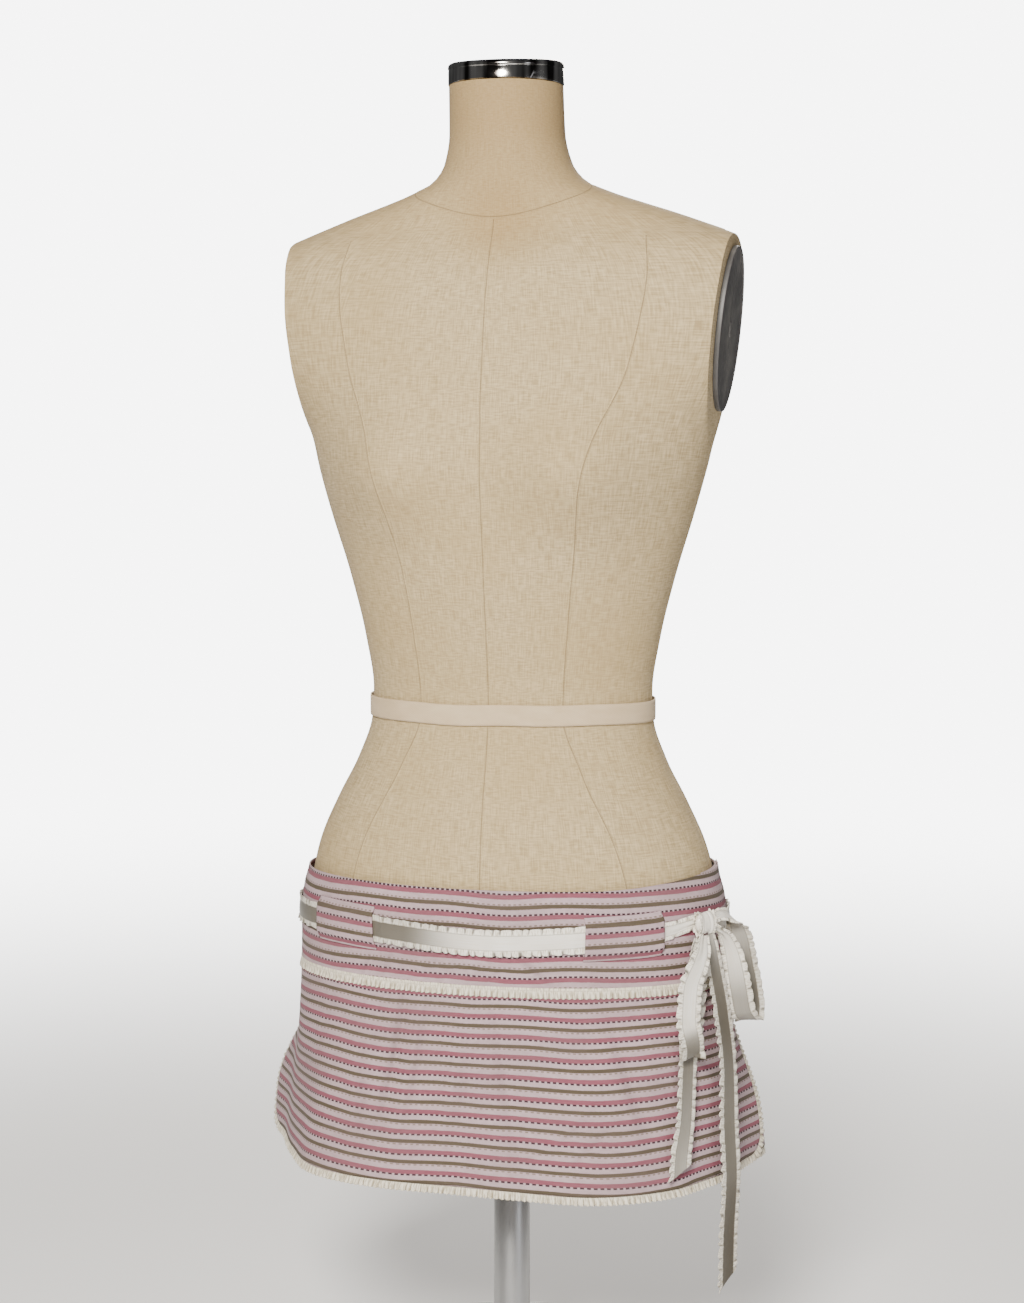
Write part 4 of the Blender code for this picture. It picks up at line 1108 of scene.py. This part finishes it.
def free_edge_stops():
    """Down the wrap's end, round its corner, along the hem and up the slit; heading 0 faces left."""
    wrap_corner, slit_corner = front_panel_low(WRAP_END_ANGLE), front_panel_low(SLIT_ANGLE)
    start = top_height(WRAP_END_ANGLE)
    stops = [(WRAP_END_ANGLE, start + (wrap_corner - start) * k / 80.0, 0.0) for k in range(81)]
    for angle in reversed(even_angles(SLIT_ANGLE, WRAP_END_ANGLE, 1.0, True)[1:-1]):
        rise, heading = corner_rise(angle)
        stops.append((angle, HEM + rise, heading if angle > 0.0 else -180.0 - heading))
    top = SEAM - SEAM_GAP
    stops += [(SLIT_ANGLE, slit_corner + (top - slit_corner) * k / 60.0, -180.0) for k in range(61)]
    return stops


edge_trim = gathered_trim("edge_frill", free_edge_stops(), flush, 0.0003, -0.0007, 0.0009, "trim_free_edge")
hem_angles = even_angles(UNDER_PANEL_END, under_end, 1.0)
hem_trim = gathered_trim(
    "back_hem_frill", [(angle, HEM, -90.0) for angle in hem_angles], sunk_at_both_sides, 0.0002, -0.0008,
    0.0005, "trim_back_hem",
)
front_angles = even_angles(SLIT_ANGLE, WRAP_END_ANGLE, 1.0)
seam_trim = gathered_trim(
    "seam_frill_front", [(angle, SEAM, -90.0) for angle in front_angles], flush, OVER_SEAM, OVER_SEAM,
    0.0008, "trim_seam_front",
)
back_angles = even_angles(104.0, 260.0, 1.0)
back_seam_trim = gathered_trim(
    "seam_frill_back", [(angle, SEAM, -90.0) for angle in back_angles], flush, OVER_SEAM, OVER_SEAM,
    0.0006, "trim_seam_back",
)

# %% [markdown]
# ## Satin ribbon with frilled edges
#
# The belt and the bow are one kind of ribbon: a satin band 12 mm wide with a 5 mm strip of the same colour
# pleated along each edge. Satin shows long threads that lie side by side, so it is smooth and mirrors the
# light in broad soft bands from cream to khaki; slow khaki patches in its colour are a painted reflection
# that adds to these bands. The pleated strips are matt. One material covers both: the UV map's second value
# is the distance from the ribbon's middle, and it picks satin or frill. Fold paints shade into the drop of
# each pleat, and into the satin wherever the ribbon turns from the light.

# %% Ribbon finish
RIBBON_WALL = 0.0007
SATIN_HALF = 0.0060
RIBBON_HALF = 0.0110
SATIN_SHARE = SATIN_HALF / RIBBON_HALF


def make_ribbon_satin():
    name = "satin_ribbon_with_pleated_edges"
    satin, tree, shader = new_finish(name, Sheen_Weight=0.25, Sheen_Roughness=0.35)
    uv = cut_uv(tree)
    away = maths(tree, "ABSOLUTE", add_node(tree, "ShaderNodeSeparateXYZ", {0: uv}).outputs["Y"])
    frill = ranged(tree, away, SATIN_HALF - 0.0002, SATIN_HALF + 0.0002)
    floats = woven_noise(tree, uv, 40.0, 0.5, 2.0)
    # Slow khaki patches in the satin: a painted reflection, the broad bands that light gives on satin.
    painted_satin_reflection = ranged(tree, woven_noise(tree, uv, 55.0, 40.0, 1.0), 0.36, 0.62, 0.0, 0.22)
    satin_tone = blended_colour(tree, floats, "#e6dcc4", "#ffffff")
    satin_tone = blended_colour(tree, painted_satin_reflection, satin_tone, "#a79d86")
    # The frills' gathers give a bump, and their darker streaks in the colour are painted shade between them.
    gathers = woven_noise(tree, uv, 0.9, 5.0, 2.0)
    frill_tone = blended_colour(tree, ranged(tree, gathers, 0.36, 0.56), "#cfc5b0", "#fdf8ec")
    colour = blended_colour(tree, frill, satin_tone, frill_tone)
    from_joint = maths(tree, "ABSOLUTE", maths(tree, "SUBTRACT", away, SATIN_HALF))
    colour = blended_colour(tree, ranged(tree, from_joint, 0.0006, 0.0001, 0.0, 0.5), colour, "#655a43")
    colour = blended_colour(tree, fold_shade(tree), colour, "#3c3424")
    relief = maths(tree, "MULTIPLY_ADD", floats, 0.12, maths(tree, "MULTIPLY", gathers, frill))
    link_finish(tree, shader, colour, relief, 0.45, 0.0005, ranged(tree, frill, 0.0, 1.0, 0.30, 0.78))
    return satin


RIBBON_SATIN = make_ribbon_satin()
print("ribbon is", RIBBON_HALF * 2000, "mm wide, its satin", SATIN_HALF * 2000, "mm")

# %% [markdown]
# ## A length of ribbon
#
# Each length is swept along its middle line. Across the ribbon, the satin has a very low crown and the
# frills carry sharp pleats that stand up at the free edge: each pleat rises slowly and drops quickly, which
# leaves one dark line per pleat, and the edge is drawn in between two pleats, which leaves it scalloped.
# The belt and the bow differ only in their middle lines, so one function makes them all.

# %% Ribbon sweep
PLEAT_DEPTH = 0.0011
PLEAT_RISE = 0.72
NOTCH_DEPTH = 0.0014
SATIN_CROWN = 0.0003
GATHER_FOLD = 0.0011
GATHER_REACH = 0.030
CUT_REACH = 0.024
ACROSS_STATIONS = (-1.0, -0.93, -0.84, -0.74, -0.64, -0.56, -0.52, -0.36, -0.18, 0.0,
                   0.18, 0.36, 0.52, 0.56, 0.64, 0.74, 0.84, 0.93, 1.0)


def pleat_phase(distance, pitch, seed):
    phase = distance / pitch + 0.16 * math.sin(distance * 187.0 + seed)
    return phase + 0.10 * math.sin(distance * 419.0 + 2.0 * seed)


def pleat_wave(distance, pitch, seed):
    """Rises slowly from -1 to 1 and drops quickly; lengths and heights vary a little along the way."""
    phase = pleat_phase(distance, pitch, seed)
    share = phase - math.floor(phase)
    height = 1.0 + 0.22 * math.sin(5.3 * math.floor(phase) + seed)
    rising = share < PLEAT_RISE
    return height * (2.0 * share / PLEAT_RISE - 1.0 if rising else 1.0 - 2.0 * (share - PLEAT_RISE) / 0.28)


def pleat_crease(distance, pitch, seed):
    """1 in the narrow drop of each pleat, where no light gets in."""
    share = pleat_phase(distance, pitch, seed) % 1.0
    return smooth_step(0.74, 0.84, share) * (1.0 - smooth_step(0.90, 1.0, share))


def swept_ribbon(name, stations, pitch, solid, cut_length=0.0):
    """stations are (middle, half width, across, face, looseness, shade) at even distances along the ribbon.

    The first end is squeezed into folds, and so is the last one unless it is cut off at a slant.
    """
    last = len(stations) - 1
    middles = [station[0] for station in stations]
    step = sum((b - a).length for a, b in zip(middles, middles[1:])) / last
    length = step * last

    def place(u, v):
        k = round(u * last)
        middle, half, across, face, loose, shade = stations[k]
        forward = (middles[min(k + 1, last)] - middles[max(k - 1, 0)]).normalized()
        share = ACROSS_STATIONS[round(v * (len(ACROSS_STATIONS) - 1))]
        distance = step * k
        free = max(0.0, (abs(share) - SATIN_SHARE) / (1.0 - SATIN_SHARE))
        side, seed = (1.0, 1.3) if share > 0.0 else (-1.0, 4.1)
        crease = 0.85 * pleat_crease(distance, pitch, seed) * smooth_step(0.0, 0.35, free) * loose
        crease = max(crease, shade * (1.0 - smooth_step(0.0, 0.10, free)), 0.35 * shade)
        fullness = half / RIBBON_HALF
        notch = 1.0 - math.sin(math.pi * (pleat_phase(distance, pitch, seed) % 1.0)) ** 0.5
        reach = share * half - side * NOTCH_DEPTH * notch * smooth_step(0.4, 1.0, free) * loose * fullness
        lift = PLEAT_DEPTH * pleat_wave(distance, pitch, seed) * free**0.8 * loose * fullness
        lift += SATIN_CROWN * max(0.0, 1.0 - (share / SATIN_SHARE) ** 2) * loose
        spread = smooth_step(0.0, GATHER_REACH, distance)
        if not cut_length:
            spread = min(spread, smooth_step(0.0, GATHER_REACH, length - distance))
        folds = math.cos(2.0 * math.pi * share * 1.5) * (1.0 - abs(share) * 0.5)
        lift += GATHER_FOLD * (1.0 - spread) * folds
        slant = cut_length * 0.5 * (share + 1.0) * smooth_step(length - CUT_REACH, length, distance)
        point = middle + across * reach + face * (lift - RIBBON_WALL / 2.0) - forward * slant
        return point, (distance - slant, share * RIBBON_HALF), crease

    print(name, "is", round(length, 3), "m long")
    grid = laid_grid(last, len(ACROSS_STATIONS) - 1, place)
    return finish_piece(name, grid, RIBBON_SATIN, solid, RIBBON_WALL, 80.0)


# %% [markdown]
# ## Ribbon belt
#
# The ribbon goes once round the yoke, sags a little in front between its carriers, and climbs to the knot
# at the left hip. Under a carrier it is pressed flat, so its pleats lie down there.

# %% Belt
RIBBON_HEIGHT = 0.4145
RIBBON_SAG = 0.0060
KNOT_ANGLE = 74.0
KNOT_HEIGHT = 0.421
CARRIER_ANGLES = (-54.0, 51.5, 130.0, -130.0)
CARRIER_WIDTH = 0.056
CARRIER_HEIGHT = 0.035
CARRIER_ARCH = 0.0021
BELT_STANDOFF = CLOTH + 0.0007
BELT_SAMPLE_DEG = 0.36
BELT_PITCH = 0.0100


def ribbon_height(angle):
    turned_by = signed_turn(angle)
    sag = RIBBON_SAG * bell(turned_by - 2.0, 38.0)
    return RIBBON_HEIGHT - sag + (KNOT_HEIGHT - RIBBON_HEIGHT) * bell(turned_by - KNOT_ANGLE, 9.0)


def carrier_grip(angle):
    """1 where the ribbon is free, falling to 0 where a carrier presses it flat."""
    half = math.degrees(CARRIER_WIDTH / 2.0 / MEAN_RADIUS)
    nearest = min(abs(signed_turn(angle - middle)) for middle in CARRIER_ANGLES)
    return smooth_step(half + 1.0, half + 4.5, nearest)


def belt_stations():
    start, end = KNOT_ANGLE + 1.0, KNOT_ANGLE - 1.0 + 360.0
    count = round((end - start) / BELT_SAMPLE_DEG)
    stations = []
    for k in range(count + 1):
        angle = start + (end - start) * k / count
        height = ribbon_height(angle)
        pinch = smooth_step(2.0, 26.0, abs(signed_turn(angle - KNOT_ANGLE)))
        half = RIBBON_HALF * (0.55 + 0.45 * pinch)
        top = skirt_point(angle, height + half, 0.0)
        low = skirt_point(angle, height - half, 0.0)
        face = polar(angle, 1.0, 0.0)
        across = (top - low).normalized()
        face = (face - across * face.dot(across)).normalized()
        loose = carrier_grip(angle)
        middle = 0.5 * (top + low) + face * (BELT_STANDOFF + RIBBON_WALL / 2.0 + 0.0010 * loose)
        turned_by = signed_turn(angle)
        shade = 0.90 * (1.0 - smooth_step(-32.0, 0.0, turned_by)) + 0.5 * bell(turned_by - 60.0, 5.0)
        stations.append((middle, half, across, face, loose, shade))
    return stations


belt = swept_ribbon("ribbon_round_hips", belt_stations(), BELT_PITCH, "ribbon_belt")

# %% [markdown]
# ## Belt carriers
#
# Four wide carriers of the same cotton hold the ribbon. Each is a folded rectangle, sewn to the yoke along
# its top and bottom, with the sides open. It lies flat on the yoke at the seams and rises just enough for
# the ribbon between them.

# %% Carriers
CARRIER_ROSE = 0.0032
CARRIER_SHIFT = 0.0021
TURNED_EDGE = 0.0003


def carrier(number, middle):
    half = math.degrees(CARRIER_WIDTH / 2.0 / cloth_radius(middle, ribbon_height(middle)))

    def place(u, v):
        angle = middle + half * (2.0 * u - 1.0)
        height = ribbon_height(angle) + CARRIER_HEIGHT * (v - 0.5)
        rise = smooth_step(0.04, 0.20, v) * (1.0 - smooth_step(0.80, 0.96, v))
        turned_edge = TURNED_EDGE * (1.0 - smooth_step(0.0, 0.04, min(u, 1.0 - u)))
        outwards = CLOTH + GAP + (CARRIER_ARCH + TURNED_EDGE) * rise - turned_edge
        along = cloth_along(angle) + CARRIER_SHIFT * number
        across = (CARRIER_HEIGHT * v - CARRIER_ROSE) * REPEAT / YOKE_REPEAT
        return skirt_point(angle, height, outwards), (along, across)

    piece = finish_piece(
        f"ribbon_carrier_{number}", laid_grid(48, 36, place), STRIPED_COTTON,
        f"belt_carrier_{number}", CLOTH,
    )


for number, middle in enumerate(CARRIER_ANGLES, 1):
    carrier(number, middle)

# %% [markdown]
# ## The bow
#
# Two loops and two tails hang from a knot at the left hip. Their middle lines are short tables of points,
# given by an angle, a height and a distance from the cloth, with the half width that the ribbon has there,
# since it is squeezed narrow where it enters the knot. Three more numbers say how the ribbon's width lies:
# along the cloth, out from it and up. Most lengths lie along the cloth throughout, and only the back loop's
# width turns on its way. The shades run evenly along each length, 0 where the satin catches the light and 1
# where it lies in the dark.

# %% Bow middle lines
ALONG_CLOTH = (1.0, 0.0, 0.0)
HALF_OPEN = (1.0, 0.1, 0.0)
FRONT_LOOP = [
    (73.0, 0.4116, 0.0108, 0.0042), (71.4, 0.4020, 0.0170, 0.0070), (69.8, 0.3920, 0.0195, 0.0095),
    (67.6, 0.3730, 0.0200, 0.0110), (66.6, 0.3480, 0.0190, 0.0110), (66.9, 0.3270, 0.0168, 0.0110),
    (67.3, 0.3185, 0.0125, 0.0110), (68.2, 0.3250, 0.0086, 0.0110), (70.6, 0.3480, 0.0068, 0.0110),
    (72.2, 0.3730, 0.0066, 0.0105), (72.8, 0.3950, 0.0068, 0.0070), (73.4, 0.4106, 0.0066, 0.0040),
]
BACK_LOOP = [
    (76.4, 0.4232, 0.0090, 0.0042, 0.1, 0.7, -0.7), (79.6, 0.4258, 0.0105, 0.0060, 0.1, 0.7, -0.7),
    (82.5, 0.4235, 0.0120, 0.0080, 0.1, 0.7, -0.7), (85.0, 0.4150, 0.0135, 0.0095, 0.2, 0.8, -0.5),
    (86.6, 0.4020, 0.0145, 0.0105, 0.3, 0.9, -0.2), (87.8, 0.3830, 0.0165, 0.0110, 0.4, 0.9, 0.0),
    (88.6, 0.3630, 0.0195, 0.0110, 0.4, 0.9, 0.0), (88.4, 0.3440, 0.0216, 0.0110, 0.4, 0.9, 0.0),
    (86.0, 0.3365, 0.0215, 0.0110, 0.4, 0.9, 0.0), (83.5, 0.3440, 0.0200, 0.0110, 0.4, 0.9, 0.0),
    (82.8, 0.3660, 0.0178, 0.0110, 0.4, 0.9, 0.0), (82.0, 0.3900, 0.0148, 0.0095, 0.4, 0.9, 0.0),
    (80.0, 0.4075, 0.0125, 0.0065, 0.4, 0.9, 0.0), (76.6, 0.4172, 0.0100, 0.0040, 0.4, 0.9, 0.0),
]
SHORT_TAIL = [
    (72.8, 0.4085, 0.0036, 0.0042), (72.0, 0.3900, 0.0034, 0.0060), (70.5, 0.3550, 0.0034, 0.0080),
    (67.5, 0.3100, 0.0045, 0.0095), (64.0, 0.2700, 0.0055, 0.0100), (60.8, 0.2400, 0.0055, 0.0100),
    (59.2, 0.2220, 0.0055, 0.0100),
]
LONG_TAIL = [
    (75.5, 0.4117, 0.0080, 0.0042), (76.4, 0.4030, 0.0076, 0.0060), (77.3, 0.3860, 0.0080, 0.0085),
    (79.0, 0.3500, 0.0095, 0.0105), (79.6, 0.3050, 0.0105, 0.0110), (77.8, 0.2600, 0.0100, 0.0110),
    (76.2, 0.2150, 0.0095, 0.0110), (75.9, 0.1700, 0.0080, 0.0110), (76.0, 0.1240, 0.0070, 0.0110),
]
FRONT_LOOP_SHADES = [0.3, 0.18, 0.08, 0.04, 0.0, 0.0, 0.02, 0.75,
                     0.92, 0.92, 0.90, 0.90, 0.88, 0.86, 0.85, 0.82, 0.8]
BACK_LOOP_SHADES = [0.1, 0.1, 0.55, 0.85, 0.90, 0.80, 0.75, 0.35, 0.1, 0.2]
SHORT_TAIL_SHADES = [0.6, 0.80, 0.86, 0.82, 0.72, 0.65]
LONG_TAIL_SHADES = [0.6, 0.88, 0.93, 0.90, 0.87, 0.88, 0.98, 1.0, 1.0]
TAIL_CUT = 0.016
BOW_SAMPLE = 0.0009
TAIL_PITCH = 0.0085


def surface_frame(angle, height):
    """Directions towards the back along the cloth, out from it, and up."""
    height = max(height, HEM)
    back = (skirt_point(angle + 1.0, height, 0.0) - skirt_point(angle - 1.0, height, 0.0)).normalized()
    return back, Vector((back.y, -back.x, 0.0)), Vector((0.0, 0.0, 1.0))


def bow_stations(rows, shades, lie):
    """The table's rows joined by a smooth curve, with a station every 0.9 mm; shades run evenly along it."""
    points = []
    acrosses = []
    for angle, height, standoff, _half, *own_lie in rows:
        back, out, up = surface_frame(angle, height)
        along, outward, upward = own_lie or lie
        point = skirt_point(angle, max(height, HEM), CLOTH) + out * standoff
        point.z = height
        points.append(point)
        acrosses.append((back * along + out * outward + up * upward).normalized())
    lengths = [0.0]
    for a, b in zip(points, points[1:]):
        lengths.append(lengths[-1] + (b - a).length)
    count = round(lengths[-1] / BOW_SAMPLE)
    middles = []
    for k in range(count + 1):
        reach = lengths[-1] * k / count
        middles.append(Vector([eased(lengths, [p[axis] for p in points], reach) for axis in range(3)]))
    stations = []
    for k, middle in enumerate(middles):
        reach = lengths[-1] * k / count
        half = eased(lengths, [row[3] for row in rows], reach)
        across = Vector([eased(lengths, [a[axis] for a in acrosses], reach) for axis in range(3)])
        forward = (middles[min(k + 1, count)] - middles[max(k - 1, 0)]).normalized()
        across = (across - forward * across.dot(forward)).normalized()
        shade = eased([j / (len(shades) - 1) for j in range(len(shades))], shades, k / count)
        stations.append((middle, half, across, across.cross(forward).normalized(), 1.0, shade))
    return stations


# %% Loops and tails
loop_front, loop_back, tail_short, tail_long = [
    swept_ribbon(name, bow_stations(rows, shades, lie), TAIL_PITCH, solid, cut_length)
    for name, rows, shades, lie, solid, cut_length in (
        ("bow_front_loop", FRONT_LOOP, FRONT_LOOP_SHADES, ALONG_CLOTH, "bow_loop_front", 0.0),
        ("bow_back_loop", BACK_LOOP, BACK_LOOP_SHADES, ALONG_CLOTH, "bow_loop_back", 0.0),
        ("bow_short_tail", SHORT_TAIL, SHORT_TAIL_SHADES, ALONG_CLOTH, "bow_tail_short", TAIL_CUT),
        ("bow_long_tail", LONG_TAIL, LONG_TAIL_SHADES, HALF_OPEN, "bow_tail_long", TAIL_CUT),
    )
]

# %% [markdown]
# ## The knot
#
# The knot is ribbon wrapped once over the crossing and pulled tight. Inside is a soft core of squeezed
# ribbon, made from a ball with grooves pressed into it. Over it goes a band that runs out, down and back
# again, with the satin in folds across its width and its pleated edges standing up on both sides.

# %% Knot
KNOT_STANDOFF = 0.0096
KNOT_HALF_WIDTH = 0.0088
KNOT_HALF_HEIGHT = 0.0105
KNOT_HALF_DEPTH = 0.0060

knot_back, knot_out, knot_up = surface_frame(KNOT_ANGLE, KNOT_HEIGHT)
knot_centre = skirt_point(KNOT_ANGLE, KNOT_HEIGHT, 0.0) + knot_out * KNOT_STANDOFF


def knot_spot(across, out, up):
    return knot_centre + knot_back * across + knot_out * out + knot_up * up


def make_knot_core():
    bm = bmesh.new()
    bmesh.ops.create_uvsphere(bm, u_segments=48, v_segments=32, radius=1.0)
    cut = bm.loops.layers.uv.new("cut")
    for face in bm.faces:
        for loop in face.loops:
            loop[cut].uv = (loop.vert.co.x * 0.010, loop.vert.co.z * 0.005)
    for vert in bm.verts:
        ball = vert.co.copy()
        groove = 1.0 - 0.07 * (0.5 + 0.5 * math.cos(ball.x * 9.0 + 2.0 * ball.z))
        vert.co = knot_spot(
            ball.x * KNOT_HALF_WIDTH * 0.97, ball.y * KNOT_HALF_DEPTH * 0.80 * groove,
            ball.z * KNOT_HALF_HEIGHT * 0.84 * groove,
        )
    bmesh.ops.recalc_face_normals(bm, faces=bm.faces)
    return bm


WRAP_TURN = 2.0 * math.pi * 0.94
WRAP_LENGTH = 0.052
WRAP_WALL = 0.0005


def place_wrap(u, v):
    """A band once round the core, in the plane of out and up; v runs across the ribbon."""
    turn = WRAP_TURN * (u - 0.5)
    share = 2.0 * v - 1.0
    squeeze = 0.86 - 0.16 * bell(share, 0.40)
    fold_phase = share * 11.0 + 1.4 * math.sin(turn)
    inner = 1.0 - abs(share) ** 3
    edge = smooth_step(0.72, 1.0, abs(share))
    pleat = pleat_wave(u * WRAP_LENGTH, 0.0065, 1.0 if share > 0.0 else 3.0)
    size = squeeze * (1.0 + 0.07 * math.cos(fold_phase) * inner) * (1.0 + edge * (0.08 + 0.13 * pleat))
    shade = 0.45 * smooth_step(0.2, 1.0, -math.cos(fold_phase)) * inner
    across = share * KNOT_HALF_WIDTH * (0.90 + 0.10 * math.cos(turn))
    out = math.cos(turn) * KNOT_HALF_DEPTH * size
    up = math.sin(turn) * KNOT_HALF_HEIGHT * size
    return knot_spot(across, out, up), (WRAP_LENGTH * u, share * 0.0085), shade


knot_core = finish_piece("knot_core", make_knot_core(), RIBBON_SATIN, "bow_knot")
knot_wrap = finish_piece(
    "knot_wrap", laid_grid(110, 40, place_wrap), RIBBON_SATIN, "bow_knot", WRAP_WALL, 80.0
)

# %% [markdown]
# ## Floor and light
#
# A pale, plain floor and soft studio light keep the eye on the cloth. One broad lamp high in front is the
# main light, a weaker one on the right opens the shadows round the bow, and one behind lights the back,
# because the part is looked at from all sides. The paper behind it is seen as white, but if it shone as
# brightly on the cloth it would flatten every fold. So a Light Path node tells the two apart: seen directly
# the paper is white, and everything else gets only a faint light from it. The floor fades out on its way to
# the paper, so that no edge shows.

# %% Floor
FLOOR_RADIUS = 14.0
FLOOR_DROP = 0.0005
FADE_START, FADE_END = 0.5, 3.6

floor_mesh = bmesh.new()
bmesh.ops.create_circle(floor_mesh, cap_ends=True, segments=96, radius=FLOOR_RADIUS)
bmesh.ops.translate(floor_mesh, verts=floor_mesh.verts, vec=(0.0, 0.0, -FLOOR_DROP))
floor_finish, floor_tree, floor_shader = new_finish("pale_studio_floor", Roughness=0.75)
floor_spot = object_spot(floor_tree)
floor_colour = blended_colour(floor_tree, noise_at(floor_tree, floor_spot, 3.0, 4.0), "#fbfbfb", "#ffffff")
floor_tree.links.new(floor_colour, floor_shader.inputs["Base Color"])
far_out = add_node(floor_tree, "ShaderNodeVectorMath", {0: floor_spot}, operation="LENGTH").outputs["Value"]
fade = ranged(floor_tree, far_out, FADE_START, FADE_END, 1.0, 0.0, "SMOOTHERSTEP")
floor_tree.links.new(fade, floor_shader.inputs["Alpha"])
floor_data = bpy.data.meshes.new("studio_floor")
floor_mesh.to_mesh(floor_data)
floor_mesh.free()
floor_data.materials.append(floor_finish)
floor = bpy.data.objects.new("studio_floor", floor_data)
bpy.context.scene.collection.objects.link(floor)
print("floor is", 2 * FLOOR_RADIUS, "m across")

# %% Lamps and surroundings
def soft_lamp(name, place, target, size, watts, tint):
    data = bpy.data.lights.new(name, "AREA")
    data.shape = "DISK"
    data.size = size
    data.energy = watts
    data.color = linear(tint)[:3]
    lamp = bpy.data.objects.new(name, data)
    lamp.location = place
    lamp.rotation_euler = (Vector(target) - Vector(place)).to_track_quat("-Z", "Y").to_euler()
    bpy.context.scene.collection.objects.link(lamp)


soft_lamp("main_lamp", (0.15, -2.9, 2.2), (0.0, 0.0, 0.6), 1.0, 215.0, "#fffaf2")
soft_lamp("fill_lamp", (2.4, -1.4, 0.9), (0.1, 0.0, 0.36), 0.9, 11.0, "#f6f8ff")
soft_lamp("back_lamp", (-0.3, 3.0, 1.9), (0.0, 0.0, 0.6), 1.2, 85.0, "#fffaf2")

ROOM_LIGHT = 0.13
PAPER_WHITE = 7.0
surroundings = bpy.data.worlds.new("pale_room")
bpy.context.scene.world = surroundings
surroundings.use_nodes = True
room = surroundings.node_tree
sky = room.nodes["Background"]
seen_directly = add_node(room, "ShaderNodeLightPath").outputs["Is Camera Ray"]
room.links.new(ranged(room, seen_directly, 0.0, 1.0, ROOM_LIGHT, PAPER_WHITE), sky.inputs["Strength"])
sky.inputs["Color"].default_value = linear("#ffffff")
print("three lamps and a pale room")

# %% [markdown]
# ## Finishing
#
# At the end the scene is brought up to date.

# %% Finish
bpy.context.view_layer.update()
